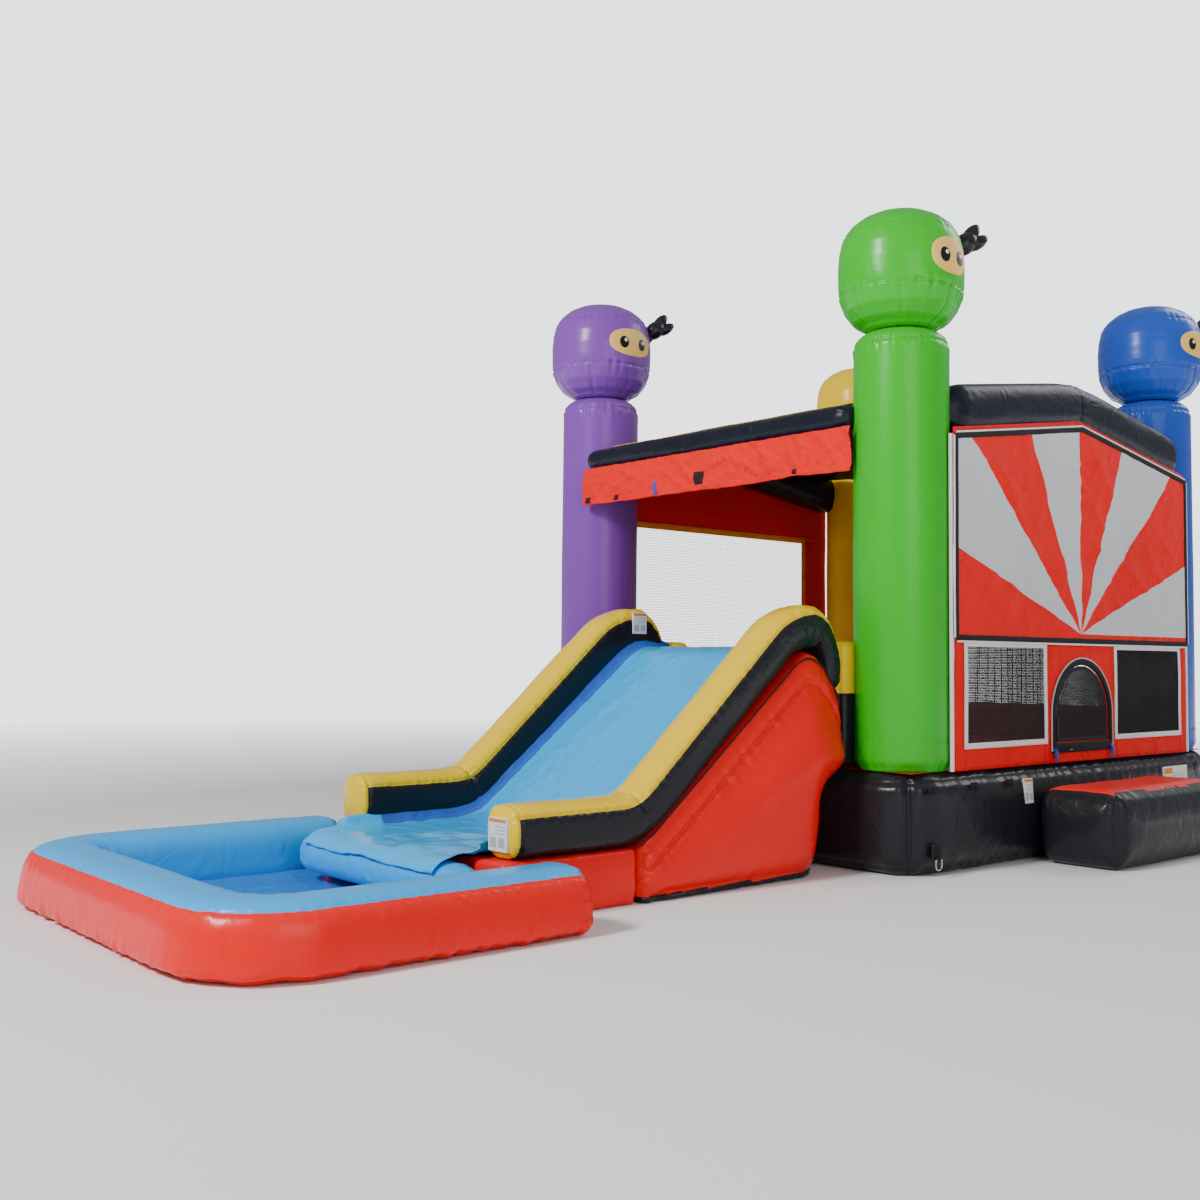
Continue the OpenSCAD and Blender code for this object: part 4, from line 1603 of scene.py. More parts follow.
        cords = net(
            (self.door_y - r, self.sill + 0.006), (self.door_y + r, self.spring + r), 0.011, 0.0060,
            lambda s, t: Vector((x, s, t)), top
        )

        def hem(u: float, v: float) -> Vector:
            """A point of the hem."""
            a, b = rounded(tau * v, 0.014, 0.0033, 3.0)
            y, z = self.arch_point(u, -0.021 + a)
            return Vector((x + b, y, z))

        def cord(u: float, v: float) -> Vector:
            """A point of the piping cord that the flap turns on, round at both ends."""
            r = 0.004 * sqrt(max(1.0 - max(0.0, abs(2 * v - 1) * 21.0 - 20.0) ** 2, 0.0))
            return Vector((HINGE[0] + r * cos(tau * u), HINGE[1] + r * sin(tau * u), 0.782 + 0.166 * v))

        tape = plain_box(
            (HINGE[0] - 0.0007, HINGE[1] + 0.002, 0.784), (HINGE[0] + 0.0007, HINGE[1] + 0.03, 0.946)
        )
        self.maker.piece(
            "net_flap", joined([cords, bent_grid(150, 12, hem, True), bent_grid(16, 84, cord, True), tape]),
            ["mesh"], ["door_flap"], body="door_flap", smooth=False
        )

    def straps(self) -> None:
        """Makes the two blue straps at the threshold, each with a side-release buckle."""
        parts = []
        for y in (self.door_y - self.door_r - 0.02, self.door_y + self.door_r + 0.02):
            strap = bent_grid(
                6, 20,
                lambda u, v: Vector(
                    (
                        self.face + 0.027 + 0.006 * sin(v * 5.0) + 0.008 * (1 - v), y - 0.0125 + 0.025 * u,
                        0.638 + 0.14 * v
                    )
                )
            )
            thicken(strap, 0.002)
            parts.append(strap)
            buckle = plain_box(
                (self.face + 0.030, y - 0.018, 0.672), (self.face + 0.042, y + 0.018, 0.722), 0.004, 3
            )
            prongs = [
                plain_box(
                    (self.face + 0.031, y + s * 0.017 - 0.003, 0.683),
                    (self.face + 0.041, y + s * 0.017 + 0.003, 0.712), 0.002
                )
                for s in (-1, 1)
            ]
            for part in (buckle, *prongs):
                stain(part, 1)
                parts.append(part)
        self.maker.piece(
            "threshold_straps", joined(parts), ["blue_webbing", "buckle_plastic"], ["door_straps"]
        )


@dataclass
class NetWalls(Part):
    """The rear and back walls: red cloth round a large net with orange binding."""

    rear_x: float = -1.862
    back_y: float = 1.982

    def build(self) -> None:
        """Builds both walls."""
        rear_hole, back_hole = (-1.20, 0.93, 1.20, 2.52), (-1.05, 0.93, 1.05, 2.48)
        self.wall(
            "rear", 1.55, rear_hole, 2.835, 0.235, lambda s, t, d: Vector((self.rear_x - 0.009 - d, s, t))
        )
        self.wall(
            "back", 1.43, back_hole, 2.87, 0.0, lambda s, t, d: Vector((s, self.back_y + 0.009 + d, t))
        )
        bands = []
        for hole, turn in (
            (rear_hole, lambda p: Vector((self.rear_x - 0.006 + p.x, p.y, p.z))),
            (back_hole, lambda p: Vector((p.y, self.back_y + 0.006 - p.x, p.z)))
        ):
            band = frame_band(
                (hole[0] - 0.03, hole[1] - 0.03, hole[2] + 0.03, hole[3] + 0.03), 0.055, 0.012, 0.04
            )
            tilt(band, turn)
            bmesh.ops.recalc_face_normals(band, faces=band.faces)
            bands.append(band)
        self.maker.piece("net_bindings", joined(bands), ["orange_binding"], ["mesh_trims"])

    def wall(
        self, name: str, half: float, hole: Tuple[float, float, float, float], top: float, peak: float,
        at: Callable[[float, float, float], Vector]
    ) -> None:
        """Makes one wall and its net.

        Args:
            name: the wall's name.
            half: half its length.
            hole: low and high corners of its opening.
            top: height of its eaves.
            peak: how far it rises at the ridge.
            at: gives a point from a place along it, a height and a distance outward.
        """
        s0, t0, s1, t1 = hole
        seed = 3.0 if name == "rear" else 6.0

        def cloth(a0: float, a1: float, b0: float, b1: float, rise: float = 0.0) -> Mesh:
            """A strip of the wall."""

            def place(u: float, v: float) -> Vector:
                """A point of the strip."""
                s = a0 + (a1 - a0) * u
                t = b0 + (b1 + rise * (1.0 - abs(s) / BAY_HALF) - b0) * v
                return at(s, t, 0.7 * billow(s, t, seed))

            return bent_grid(max(3, round((a1 - a0) / 0.04)), max(3, round((b1 - b0) / 0.04)), place)

        parts = [
            cloth(-half, s0, FLOOR_TOP, t1), cloth(s1, half, FLOOR_TOP, t1), cloth(s0, s1, FLOOR_TOP, t0),
            cloth(-half, half, t1, top, peak)
        ]
        bm = joined(parts)
        thicken(bm, 0.005)
        made = self.maker.piece(f"{name}_cloth", bm, ["red_fabric"], [f"{name}_wall"])
        cords = net((s0, t0), (s1, t1), 0.024, 0.0030, lambda s, t: at(s, t, 0.6 * billow(s, t, seed)))
        self.maker.piece(f"{name}_net", cords, ["mesh"], [f"{name}_mesh"], smooth=False)


@dataclass
class Valance(Part):
    """The red flap that hangs under the beam over the slide."""

    y: float = -1.996
    low: float = 2.552
    high: float = 2.845
    start: float = -1.35
    length: float = 2.745

    def build(self) -> None:
        """Makes the wrinkled flap with a sewn hem, and its tabs."""
        rise = self.high - self.low

        def place(u: float, v: float) -> Vector:
            """A point of the flap, gathered at its top and loose at its hem."""
            x = self.start + self.length * u
            z = self.low + rise * v
            hem = 0.004 * near((v - 0.16) * 0.28, 0.006)
            loose = 0.3 + 0.7 * (1.0 - v)
            out = (
                0.030 * loose * wave(x * 2.6 + z * 3.0, z * 2.0, 1.0)
                + 0.014 * loose * wave(x * 7.0 - z * 9.0, z * 4.0, 4.0)
            )
            out += 1.1 * creases(1.4 * x, 2.2 * z, 4.0) + 0.002 * wave(x * 30.0, z * 12.0, 9.0)
            return Vector(
                (
                    x, self.y - out + hem,
                    z + (0.012 * wave(x * 1.7, 3.0, 3.0) + 0.008 * wave(x * 6.0, 1.0, 5.0)) * (1.0 - v)
                )
            )

        bm = bent_grid(230, 30, place)
        thicken(bm, 0.003)
        flap = self.maker.piece("slide_valance", bm, ["red_fabric"], ["valance"])
        parts = []
        for x0, x1, z0, z1, kind in (
            (-0.055, 0.035, 2.60, 2.69, 0), (-1.30, -1.245, 2.565, 2.61, 0),
            (-0.98, -0.935, 2.565, 2.605, 0), (-0.485, -0.455, 2.56, 2.66, 1), (0.9, 0.94, 2.565, 2.6, 0)
        ):
            u0, u1 = (x0 - self.start) / self.length, (x1 - self.start) / self.length
            v0, v1 = (z0 - self.low) / rise, (z1 - self.low) / rise
            tab = bent_grid(
                6, 6, lambda u, v: place(u0 + (u1 - u0) * u, v0 + (v1 - v0) * v) - Vector((0, 0.004, 0))
            )
            thicken(tab, 0.002)
            stain(tab, kind)
            parts.append(tab)
        self.maker.piece(
            "valance_tab_set", joined(parts), ["black_webbing", "blue_webbing"], ["valance_tabs"]
        )


# ---------------------------------------------------------------- step, slide and pool


@dataclass
class Step(Part):
    """The inflated step in front of the doorway."""

    low_x: float = 1.935
    high_x: float = 2.578
    low_y: float = -0.79
    high_y: float = 0.75
    height: float = 0.5

    def build(self) -> None:
        """Makes the swollen block, its red top and the trim between them."""
        centre = Vector(((self.low_x + self.high_x) / 2, (self.low_y + self.high_y) / 2, self.height / 2))
        half = Vector(
            ((self.high_x - self.low_x) / 2 - 0.03, (self.high_y - self.low_y) / 2 - 0.03, self.height / 2)
        )
        bm = cell_box(half, 0.024)
        swell(bm, half, 0.10, 0.08, 0.030)

        def gather(p: Vector) -> float:
            """Gathers at the upright corners, beside the top and along the ground."""
            along = p.y if abs(p.x) / half.x > abs(p.y) / half.y else p.x + 5.0
            corner = hypot(abs(p.x) - half.x + 0.03, abs(p.y) - half.y + 0.03)
            side = pucker(p.z, corner, 1.0, 0.009, 0.09, 0.028) * ease((half.z - 0.03 - abs(p.z)) / 0.05)
            low = pucker(along, abs(p.z + half.z - 0.045), 2.0, 0.005, 0.05, 0.10)
            high = pucker(along, abs(p.z - half.z + 0.055), 3.0, 0.003, 0.04, 0.08)
            return side + low + high + 0.005 * wave(p.x * 5.0, p.y * 3.0, p.z * 6.0)

        press(bm, gather)

        def sewn(p: Vector) -> bool:
            """Whether a point is on the ground, a ring seam or an upright seam."""
            ring = min(abs(p.z - half.z + 0.06), abs(p.z + half.z - 0.05)) < 0.011
            upright = hypot(half.x - abs(p.x), half.y - abs(p.y)) < 0.045
            return p.z < 0.03 - half.z or ring or upright

        inflate(bm, sewn, 0.022)
        for v in bm.verts:
            v.co.z = min(max(v.co.z, -half.z), half.z + 0.012)
        shift(bm, centre)

        def red_top(face: Face) -> int:
            """Red on the middle of the top."""
            c = face.calc_center_median()
            flat = c.z > self.height - 0.03
            inside = (
                self.low_x + 0.07 < c.x < self.high_x - 0.10 and self.low_y + 0.09 < c.y < self.high_y - 0.09
            )
            return 1 if flat and inside else 0

        self.maker.piece(
            "entrance_step", bm, ["black_vinyl", "red_vinyl"], ["step_block", "step_top"], choose=red_top,
            fill=0.95, levels=1
        )


@dataclass
class Slide(Part):
    """The slide: two red chambers, two rails, the lane, the landing pad, the guards and the inside ramp."""

    middle: float = 0.43
    half: float = 0.97
    rail_off: float = 0.83
    foot: float = 0.30
    crest: float = 1.40

    def build(self) -> None:
        """Builds every piece of the slide."""
        self.ramp()
        self.foot_block()
        for side, name in ((1, "near"), (-1, "far")):
            self.rail(side, name)
        self.lane()
        self.pad()
        self.guards()
        self.climb()

    def top_line(self, y: float) -> float:
        """The height of the red ramp under the lane at a place along it."""
        marks = (
            (-3.76, 0.30), (-2.48, 1.32), (-2.40, 1.375), (-2.30, 1.40), (-2.12, 1.392), (-2.063, 1.355)
        )
        return profile(marks, y)

    def ramp(self) -> None:
        """Makes the red wedge, whose sides belly out inside a gathered seam."""

        def underside(face: Face) -> int:
            """Black near the ground, red elsewhere."""
            return 1 if face.calc_center_median().z < 0.035 else 0

        y0, y1 = -3.757, -2.066
        half = Vector((self.half - 0.012, (y1 - y0) / 2, 0.7))
        bm = cell_box(half, 0.02)
        inner = [f for f in bm.faces if abs(f.calc_center_median().x) < half.x - 0.3]
        bmesh.ops.delete(bm, geom=inner, context="FACES")
        loops = [e for e in bm.edges if e.is_boundary]
        bmesh.ops.bridge_loops(bm, edges=loops)
        swell(bm, half, 0.045, 0.03, 0.0)
        centre_y = (y0 + y1) / 2

        def shape(p: Vector) -> Vector:
            """Fits the box under the slope, and swells its two sides below a gathered band."""
            y = p.y + centre_y
            top = self.top_line(y)
            t = (p.z + half.z) / (2 * half.z)
            z = top * t
            crown_z = 1.355 - 2.9 * max(y + 2.42, 0.0) ** 2
            depth = (min(top, crown_z) - z) * 0.77
            hidden = -0.25 * ease((z - crown_z) / 0.12) * ease((y + 2.44) / 0.06)
            side = ease((abs(p.x) - half.x + 0.1) / 0.1)
            low = 1.0 - ease((z - 0.45) / 0.3)
            rear = (y1 - y) + 0.03 + 0.45 * (1.0 - low)
            rim = sum(max(d, 0.004) ** -2.0 for d in (depth - 0.11, z + 0.01, (y - y0) * 1.1, rear)) ** -0.5
            depth = max(depth, 0.0)
            belly = 0.03 * ease(depth / 0.1) + 0.095 * ease(rim / 0.36) - 0.05 * near(z, 0.07)
            corner = -0.27 * ease((y - y1 + 0.42) / 0.42) ** 1.3 * low - 0.02 * ease((y - y1 + 0.08) / 0.08)
            run = y * 0.77 + z * 0.64
            seam = (
                pucker(run, abs(depth - 0.125), 4.0, 0.016, 0.062, 0.045)
                - 0.012 * near(depth - 0.125, 0.016)
            )
            edge = pucker(run, depth, 2.0, 0.010, 0.05, 0.05)
            upright = pucker(z, abs(y - y0 - 0.015), 3.0, 0.016, 0.075, 0.055)
            ground = pucker(y, z - 0.02, 7.0, 0.014, 0.08, 0.10)
            crown = 0.014 * near(y + 2.28, 0.16) * near(depth - 0.06, 0.12) * wave(y * 26.0, z * 5.0, 3.0)
            soft = 0.010 * wave(y * 2.2, z * 2.2, 3.0)
            out = side * (belly + seam + edge + upright + ground + crown + soft * ease(rim / 0.2))
            return Vector(
                (self.middle + p.x * (1.0 + (corner + hidden) / half.x) + copysign(out, p.x), y, max(z, 0.0))
            )

        tilt(bm, shape)
        bmesh.ops.recalc_face_normals(bm, faces=bm.faces)
        self.maker.piece(
            "slide_ramp_chamber", bm, ["red_vinyl", "black_vinyl"], ["slide_ramp_block"], choose=underside,
            fill=0.95
        )
        self.piping()

    def piping(self) -> None:
        """Makes the grey piping between each rail and the gathered band under it."""
        path = even_path(
            [
                (-3.80, 0.335), (-3.70, 0.36), (-2.50, 1.325), (-2.40, 1.36), (-2.28, 1.315), (-2.17, 1.18),
                (-2.11, 1.09)
            ],
            6
        )
        last = len(path) - 1
        parts = []
        for side in (-1, 1):

            def place(u: float, v: float) -> Vector:
                """A point of the piping."""
                spot = path[min(round(v * last), last)]
                a, b = rounded(tau * u, 0.0065, 0.0065, 2.0)
                return Vector((self.middle + side * (self.half + 0.001) + a, spot.x, spot.y - 0.012 + b))

            parts.append(bent_grid(8, last, place, True))
        self.maker.piece("rail_piping", joined(parts), ["black_vinyl"])

    def foot_block(self) -> None:
        """Makes the low red block under the foot of the rails."""
        y0, y1 = -4.655, -3.762
        half = Vector((self.half - 0.012, (y1 - y0) / 2, self.foot / 2))
        bm = cell_box(half, 0.026)
        swell(bm, half, 0.03, 0.04, 0.008)

        def gather(p: Vector) -> float:
            """Gathers beside its edges and corners."""
            along = p.y if abs(p.x) > half.x - 0.1 else p.x + 4.0
            corner = abs(p.y - half.y + 0.012) if abs(p.x) > half.x - 0.1 else 1.0
            return (
                pucker(along, abs(p.z - half.z + 0.03), 5.0, 0.006, 0.05, 0.05)
                + pucker(along, abs(p.z + half.z - 0.03), 6.0, 0.007, 0.06, 0.07)
                + pucker(p.z, corner, 2.0, 0.007, 0.06, 0.04) + 0.004 * wave(p.x * 3, p.y * 4, p.z * 5)
            )

        press(bm, gather)

        def sewn(p: Vector) -> bool:
            """Whether a point is on the top, the bottom, an end or the ring seam."""
            return abs(p.z) > half.z - 0.02 or abs(p.y) > half.y - 0.01 or abs(p.z - half.z + 0.05) < 0.014

        inflate(bm, sewn, 0.02)
        for v in bm.verts:
            v.co.z = max(v.co.z, -half.z)
        shift(bm, (self.middle, (y0 + y1) / 2, half.z))
        self.maker.piece("slide_foot_chamber", bm, ["red_vinyl"], ["slide_foot_block"], fill=0.95, levels=1)

    def rail(self, side: int, name: str) -> None:
        """Makes a rail: one soft beam, yellow on top and black on its sides.

        Args:
            side: 1 for the entrance side, -1 for the other.
            name: its name.
        """
        middle = self.middle + side * self.rail_off
        full = 0.018 if side < 0 else 0.0
        path = even_path(
            [
                (-4.608 + full * 4.0, 0.441 + full), (-3.80, 0.441 + full), (-3.66, 0.505), (-2.56, 1.478),
                (-2.36, 1.548), (-2.22, 1.52), (-2.14, 1.38), (-2.128, 1.12)
            ],
            14
        )
        last = len(path) - 1

        def place(u: float, v: float) -> Vector:
            """A point of the rail."""
            at = v * last
            spot, up = on_path(path, at, 2, 3)
            s = at * PATH_STEP
            end = min(s / 0.05, 1.0)
            tail = min((last * PATH_STEP - s) / 0.10, 1.0)
            squeeze = (
                (1.0 - (1.0 - end) ** 3) ** 0.5 * (1.0 - (1.0 - tail) ** 2) ** 0.5
                if 0.0 < end and 0.0 < tail else 0.0
            )
            angle = tau * u
            high = 0.138 + full - 0.055 * ease((spot.x + 2.30) / 0.14)
            a, b = rounded(angle, 0.137 * squeeze, high * squeeze, 3.0)
            seam = min(abs(remainder(angle - t, tau)) for t in (0.46, pi - 0.46)) * 0.13
            fold = pucker(s, seam, side * 2.0 + 5.0, 0.009, 0.032, 0.04) - 0.004 * near(seam, 0.007)
            fold += (
                pucker(angle * 0.12, abs(spot.x + 3.72), side + 1.0, 0.013, 0.07, 0.03) * (
                    1.0 if b > 0 else 0.4
                )
                - 0.010 * near(spot.x + 3.72, 0.02) * ease(b / 0.1)
            )
            fold += pucker(angle * 0.12, abs(s - 0.05), side + 3.0, 0.006, 0.05, 0.035)
            fold += 0.0035 * wave(s * 5.0, cos(angle), sin(angle) + side) - 0.006 * near(s - 0.05, 0.01)
            crest = near(spot.x + 2.33, 0.14)
            fold += crest * 0.008 * wave(s * 22.0, angle * 1.5, 2.0)
            grow = min(1.0 + fold * squeeze / 0.13, 1.045)
            a, b = a * grow, b * grow
            return Vector((middle + a, spot.x + up.x * b, spot.y + up.y * b))

        def top_or_side(u: float, v: float) -> int:
            """Yellow on the top and on the end's cap, black on the sides."""
            cap = v * last * PATH_STEP < 0.055
            return 0 if cap or 0.46 < u * tau < pi - 0.46 else 1

        bm = bent_grid(88, 250, place, True, top_or_side)
        self.maker.piece(
            f"padded_rail_{name}", bm, ["yellow_vinyl", "black_vinyl"], [f"slide_rail_{name}"], fill=1.0
        )

    def lane(self) -> None:
        """Makes the loose vinyl sheet that runs from the crest over the foot and on to the pad."""
        path = even_path(
            [
                (-2.07, 1.372), (-2.14, 1.405), (-2.30, 1.412), (-2.42, 1.372), (-3.70, 0.352),
                (-3.86, 0.318), (-4.70, 0.308), (-4.84, 0.292), (-4.915, 0.235), (-4.922, 0.17)
            ],
            8
        )
        last = len(path) - 1
        width, flat_half, foot_run = 0.745, 0.66, 2.95

        def place(u: float, v: float) -> Vector:
            """A point of the sheet, which lifts against the rails and crumples at its foot."""
            at = v * last * (
                1.0
                - ease((v - 0.85) / 0.15) * 0.022 * (
                    1.0 + 0.7 * wave(u * 3.0, 2.0, 2.0) + 0.12 * wave(u * 14.0, 2.0, 3.0)
                )
            )
            spot, up = on_path(path, at, 2, 2)
            if up.y < 0:
                up = -up
            side = 2 * u - 1
            x = width * side
            s = at * PATH_STEP
            loose = ease((s - 1.5) / 0.9)
            fold = (
                0.004 * wave(x * 6.0 + s, s * 2.0, 1.0)
                + 0.010 * loose * wave(x * 4.0 + s * 1.5, s * 3.0, 4.0)
            )
            fold += (
                0.014 * loose * abs(wave(x * 3.0 - s * 3.0, s * 5.0, 7.0))
                + 0.003 * wave(x * 14.0, s * 12.0, 2.0)
            )
            turn_up = ease((abs(side) - 0.93) / 0.07) * (1.0 - 0.8 * ease((s - 2.9) / 0.1))
            strip = near(abs(side) - 0.93, 0.07)
            fold += strip * (0.010 * wave(s * 12.0, side * 30.0, 5.0) + 0.006)
            x = (
                copysign(min(abs(x), flat_half + 0.6 * (abs(x) - flat_half)), x)
                if abs(x) > flat_half and s < foot_run
                else x * (1.0 - 0.07 * ease((s - foot_run) / 0.06))
            )
            out = 0.006 + fold * (1.0 - 0.6 * turn_up) + 0.066 * turn_up
            return Vector((self.middle + x, spot.x + up.x * out, spot.y + up.y * out))

        bm = bent_grid(92, 170, place)
        thicken(bm, 0.003)

        def strips(face: Face) -> int:
            """Darker blue along both edges."""
            c = face.calc_center_median()
            return 1 if abs(c.x - self.middle) > 0.645 and c.y > -4.4 else 0

        sheet = self.maker.piece(
            "lane_sheet", bm, ["lane_vinyl", "deep_blue_vinyl"], ["slide_lane"], slot="sky_vinyl",
            choose=strips
        )

    def pad(self) -> None:
        """Makes the round-nosed cushion that the lane runs over."""

        def place(u: float, v: float) -> Vector:
            """A point of the cushion, flat behind and round in front."""
            x = -0.86 + 1.72 * v
            end = min(max(0.0, (abs(x) - 0.70) / 0.16), 1.0)
            squeeze = sqrt(max(1.0 - end * end, 0.0))
            angle = tau * u
            a, b = rounded(angle, 0.118 * squeeze, 0.108 * squeeze, 2.7)
            fold = (
                pucker(angle * 0.12, abs(abs(x) - 0.74), 2.0, 0.010, 0.08, 0.04)
                + 0.004 * wave(x * 4.0, cos(angle), sin(angle))
            )
            fold += pucker(x, abs(b + 0.02) + (0.0 if a < 0 else 1.0), 5.0, 0.006, 0.05, 0.06)
            grow = min(1.0 + fold / 0.12 * squeeze, 1.03)
            return Vector((self.middle + x, -4.783 + a * grow, 0.178 + b * grow))

        bm = bent_grid(44, 90, place, True)
        inflate(
            bm, lambda p: p.z < 0.085 or p.y > -4.69 or abs(abs(p.x - self.middle) - 0.74) < 0.012, 0.012
        )
        self.maker.piece("landing_cushion", bm, ["sky_vinyl"], ["landing_pad"], fill=0.9, levels=1)

    def guards(self) -> None:
        """Makes the two upright guards behind the rails."""
        parts = []
        for side in (-1, 1):
            half = Vector((0.118, 0.118, 0.405))
            bm = cell_box(half, 0.02)
            swell(bm, half, 0.06, 0.09, 0.006)
            press(
                bm,
                lambda p: pucker(p.x + p.y, half.z - 0.05 - abs(p.z), 3.0, 0.004, 0.05, 0.03)
                + 0.003 * wave(p.x * 6, p.y * 6, p.z * 4)
            )
            shift(bm, (self.middle + side * self.rail_off - side * 0.03, -1.93, 1.05))
            parts.append(bm)

        def split(face: Face) -> int:
            """Yellow above, black near the floor."""
            return 0 if face.calc_center_median().z > 1.12 else 1

        self.maker.piece(
            "opening_guards", joined(parts), ["yellow_vinyl", "black_vinyl"], ["opening_posts"],
            choose=split, fill=0.95
        )

    def climb(self) -> None:
        """Makes the padded ramp inside and its rungs."""
        half = Vector((0.68, 0.62, 0.36))
        bm = cell_box(half, 0.035)
        swell(bm, half, 0.05, 0.05, 0.0)

        def shape(p: Vector) -> Vector:
            """Leans the box into a ramp with a level top."""
            y = -1.43 + p.y
            top = 1.375 if y < -1.62 else 1.375 - 0.62 * ease((y + 1.62) / 0.80)
            t = (p.z + half.z) / (2 * half.z)
            return Vector(
                (self.middle + p.x + 0.004 * wave(y * 4, p.z * 4, 1.0), y, 0.648 + (top - 0.648) * t)
            )

        tilt(bm, shape)
        bmesh.ops.recalc_face_normals(bm, faces=bm.faces)
        self.maker.piece("inside_ramp", bm, ["red_vinyl"], ["climb_ramp"], fill=0.95)
        low, high = (Vector(c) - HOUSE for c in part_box("climb_steps"))
        parts = []
        for k in range(3):
            y, z = -1.48 + 0.215 * k, 1.319 - 0.163 * k

            def place(u: float, v: float) -> Vector:
                """A point of one rung."""
                x = low.x + (high.x - low.x) * v
                end = max(0.0, (abs(2 * v - 1) - 0.94) / 0.06)
                r = 0.044 * sqrt(max(1.0 - end * end, 0.0))
                angle = tau * u
                return Vector((x, y + r * cos(angle), z + r * sin(angle)))

            parts.append(bent_grid(24, 60, place, True))
        self.maker.piece("ramp_rungs", joined(parts), ["yellow_vinyl"], ["climb_steps"], fill=0.95)


@dataclass
class SplashPool(Part):
    """The U-shaped pool wall and its floor, on the body that slides away."""

    middle: float = 0.43
    half: float = 1.47
    wall: float = 0.46
    height: float = 0.33
    open_y: float = -4.462
    end_y: float = -6.388
    corner: float = 0.56

    def build(self) -> None:
        """Builds the wall and the floor."""
        self.rim()
        self.floor()

    def rim(self) -> None:
        """Makes the one swollen tube that runs round three sides, red outside and blue inside."""
        w = self.half - self.wall / 2
        end = self.end_y + self.wall / 2
        r = self.corner - self.wall / 2
        line: List[Tuple[float, float]] = [(w, self.open_y)]
        for k in range(13):
            a = pi / 2 * k / 12
            line.append((w - r + r * cos(a), end + r - r * sin(a)))
        line += [(-x, y) for x, y in reversed(line)]
        path = even_path(line, 4)
        last = len(path) - 1

        def place(u: float, v: float) -> Vector:
            """A point of the tube, with folds where it turns and closed ends."""
            at = v * last
            spot, out = on_path(path, at, 3, 3)
            s = at * PATH_STEP
            total = last * PATH_STEP
            gap = min(s, total - s)
            close = min(gap / 0.05, 1.0)
            squeeze = (1.0 - (1.0 - close) ** 4) ** 0.5 if close > 0 else 0.0
            angle = tau * u
            a, b = rounded(angle, self.wall / 2 - 0.010, self.height / 2 - 0.003, 3.0 if angle < pi else 5.0)
            a, b = a * (0.9 + 0.1 * squeeze if squeeze else 0.0), b * squeeze
            lean = 0.055 * (b / self.height + 0.5)
            a -= lean * (0.3 + 0.7 * a / (self.wall / 2))
            turn = near(min(abs(s - 1.72), abs(s - total + 1.72)), 0.34)
            seam = abs(remainder(angle - 0.72, tau)) * 0.2
            fold = pucker(s, seam, 3.0, 0.012, 0.055, 0.045)
            fold += pucker(
                s, abs(b + self.height / 2 - 0.02) + (0.0 if a > 0 else 0.06), 5.0, 0.012, 0.06, 0.085
            )
            fold += (
                turn * (0.010 if a < 0 else 0.004) * wave(s * 16.0, b * 4.0, 6.0)
                + 0.005 * wave(s * 1.7, cos(angle), sin(angle))
            )
            fold += pucker(angle * 0.2, gap - 0.03, 8.0, 0.008, 0.07, 0.05)
            grow = 1.0 + fold / 0.2 * squeeze
            a, b = a * min(grow, 1.05), b * min(grow, 1.03)
            z = max(self.height / 2 + b, 0.0005)
            return Vector((self.middle + spot.x + out.x * a, spot.y + out.y * a, z))

        def out_or_in(u: float, v: float) -> int:
            """Red outside and on the two ends, blue on top and inside."""
            angle = u * tau
            low = angle if angle < pi else angle - tau
            at = v * last * PATH_STEP
            cap = min(at, last * PATH_STEP - at) < 0.045
            return 0 if -1.9 < low < 0.72 or (cap and low < 0.72) else 1

        bm = bent_grid(84, 420, place, True, out_or_in)
        self.maker.piece(
            "pool_wall", bm, ["red_vinyl", "sky_vinyl"],
            ["pool_wall_near", "pool_wall_far", "pool_wall_end"], body="pool", fill=0.9
        )

    def floor(self) -> None:
        """Makes the loose floor sheet of the pool."""
        w = self.half - self.wall + 0.05
        low_y, high_y = -5.98, -4.668

        def place(u: float, v: float) -> Vector:
            """A point of the floor, dished and wrinkled."""
            x, y = w * (2 * u - 1), low_y + (high_y - low_y) * v
            rim = min(w - abs(x), y - low_y)
            z = (
                0.016 + 0.022 * near(rim, 0.12) + 0.006 * abs(wave(x * 3.0, y * 3.0, 2.0))
                + 0.004 * wave(x * 9.0, y * 8.0, 5.0) + 0.002 * wave(x * 24.0, y * 24.0, 1.0)
            )
            return Vector((self.middle + x, y, max(z, 0.006)))

        bm = bent_grid(110, 72, place)
        thicken(bm, 0.003)
        sheet = self.maker.piece("pool_floor_sheet", bm, ["pool_blue"], ["pool_floor"], body="pool")


# ---------------------------------------------------------------- stage


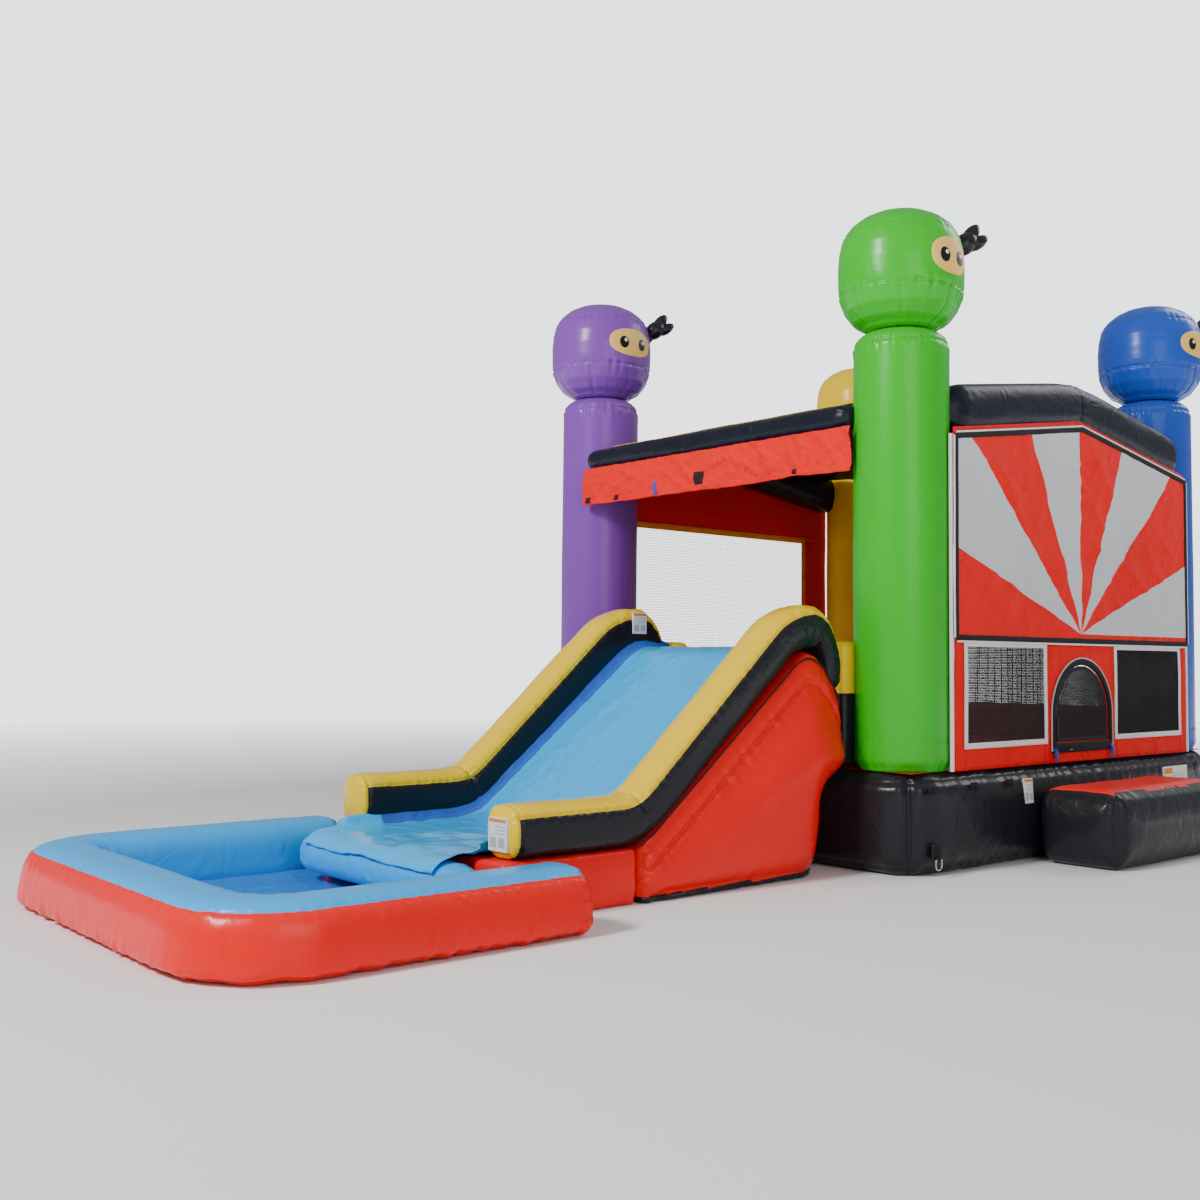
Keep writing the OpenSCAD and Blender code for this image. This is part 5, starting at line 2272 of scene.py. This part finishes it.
@dataclass
class Stage:
    """A pale floor, soft lights and the camera."""

    at: Tuple[float, float, float] = (6.7127, -8.4121, 1.3141)
    yaw: float = 0.7317
    pitch: float = 0.0553
    roll: float = 0.0077
    lens: float = 38.66
    shift: Tuple[float, float] = (-0.05, -0.0083)

    def build(self) -> None:
        """Builds the floor, the lights, the surroundings and the camera."""
        self.floor()
        self.lights()
        self.camera()

    def floor(self) -> None:
        """Makes the pale floor."""
        bm = bmesh.new()
        bmesh.ops.create_circle(bm, cap_ends=True, segments=96, radius=60.0)
        mesh = bpy.data.meshes.new("studio_floor")
        bm.to_mesh(mesh)
        bm.free()
        ground = add_object("studio_floor", mesh)
        material = bpy.data.materials.new("studio_floor")
        material.use_nodes = True
        shader = material.node_tree.nodes["Principled BSDF"]
        shader.inputs["Base Color"].default_value = (0.9, 0.9, 0.9, 1.0)
        shader.inputs["Roughness"].default_value = 0.95
        shader.inputs["Specular IOR Level"].default_value = 0.1
        tree = material.node_tree
        away = tree.nodes.new("ShaderNodeVectorMath")
        away.operation = "LENGTH"
        tree.links.new(object_place(tree), away.inputs[0])
        far = math_node(
            tree, "MAXIMUM",
            math_node(tree, "MULTIPLY", math_node(tree, "SUBTRACT", away.outputs["Value"], 6.0), 0.14), 0.0
        )
        shader.inputs["Emission Color"].default_value = (0.95, 0.97, 1.0, 1.0)
        tree.links.new(math_node(tree, "MINIMUM", far, 2.2), shader.inputs["Emission Strength"])
        mesh.materials.append(material)

    def lights(self) -> None:
        """Makes a large key light, a fill, a back light and a white sky."""
        world = bpy.data.worlds.new("studio_sky")
        bpy.context.scene.world = world
        world.use_nodes = True
        world.node_tree.nodes["Background"].inputs["Color"].default_value = (0.95, 0.97, 1.0, 1.0)
        seen = math_node(
            world.node_tree, "MULTIPLY",
            world.node_tree.nodes.new("ShaderNodeLightPath").outputs["Is Camera Ray"], 2.2
        )
        world.node_tree.links.new(
            math_node(world.node_tree, "ADD", seen, 0.38),
            world.node_tree.nodes["Background"].inputs["Strength"]
        )
        for name, place, energy, size in (
            ("key", (0.5, -12.5, 9.0), 1600.0, 2.5), ("fill", (11.0, -5.0, 5.0), 300.0, 6.0),
            ("rim", (3.0, 9.0, 9.0), 380.0, 5.0)
        ):
            lamp = bpy.data.lights.new(name, "AREA")
            lamp.energy = energy
            lamp.size = size
            light = add_object(name, lamp)
            light.location = place
            light.rotation_euler = (Vector((0, 0, 1.6)) - Vector(place)).to_track_quat("-Z", "Y").to_euler()

    def camera(self) -> None:
        """Makes the camera."""
        data = bpy.data.cameras.new("view")
        data.lens, data.sensor_width = self.lens, 36.0
        data.shift_x, data.shift_y = self.shift
        data.clip_end = 200.0
        ahead = Vector((-cos(self.yaw) * cos(self.pitch), sin(self.yaw) * cos(self.pitch), sin(self.pitch)))
        right = Vector((sin(self.yaw), cos(self.yaw), 0.0))
        up = right.cross(ahead)
        c, s = cos(self.roll), sin(self.roll)
        right, up = c * right + s * up, c * up - s * right
        camera = add_object("view", data)
        turn = Matrix((right, up, -ahead)).transposed()
        camera.matrix_world = Matrix.Translation(Vector(self.at) + HOUSE) @ turn.to_4x4()
        bpy.context.scene.camera = camera


def dress_rings(paints: Paints) -> None:
    """Gives the anchor rings, whose CAD shape is right, their steel."""
    for letter in "abcd":
        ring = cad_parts[f"anchor_ring_{letter}"]
        ring.data.materials.clear()
        ring.data.materials.append(paints["steel"])


def main() -> None:
    """Builds the whole object, part by part."""
    logging.basicConfig(level=logging.INFO, format="%(name)s %(message)s")
    Stage().build()
    paints = Paints()
    maker = Maker(paints)
    CastleBase(maker).build()
    for hue, at, patch in (
        ("green", (1.55, -1.67), (0.175, 0.118)),
        ("purple", (-1.55, -1.67), (0.215, 0.112)),
        ("blue", (1.55, 1.67), (0.20, 0.105)),
        ("yellow", (-1.55, 1.67), (0.19, 0.11)),
    ):
        Pillar(maker, hue, at, patch).build()
    for part in (Roof, EntranceSide, NetWalls, Valance, Step, Slide, SplashPool):
        part(maker).build()
        LOG.info("%s is done", part.__name__)
    dress_rings(paints)
    LOG.info("%d pieces", maker.count)


if __name__ == "__main__":
    main()
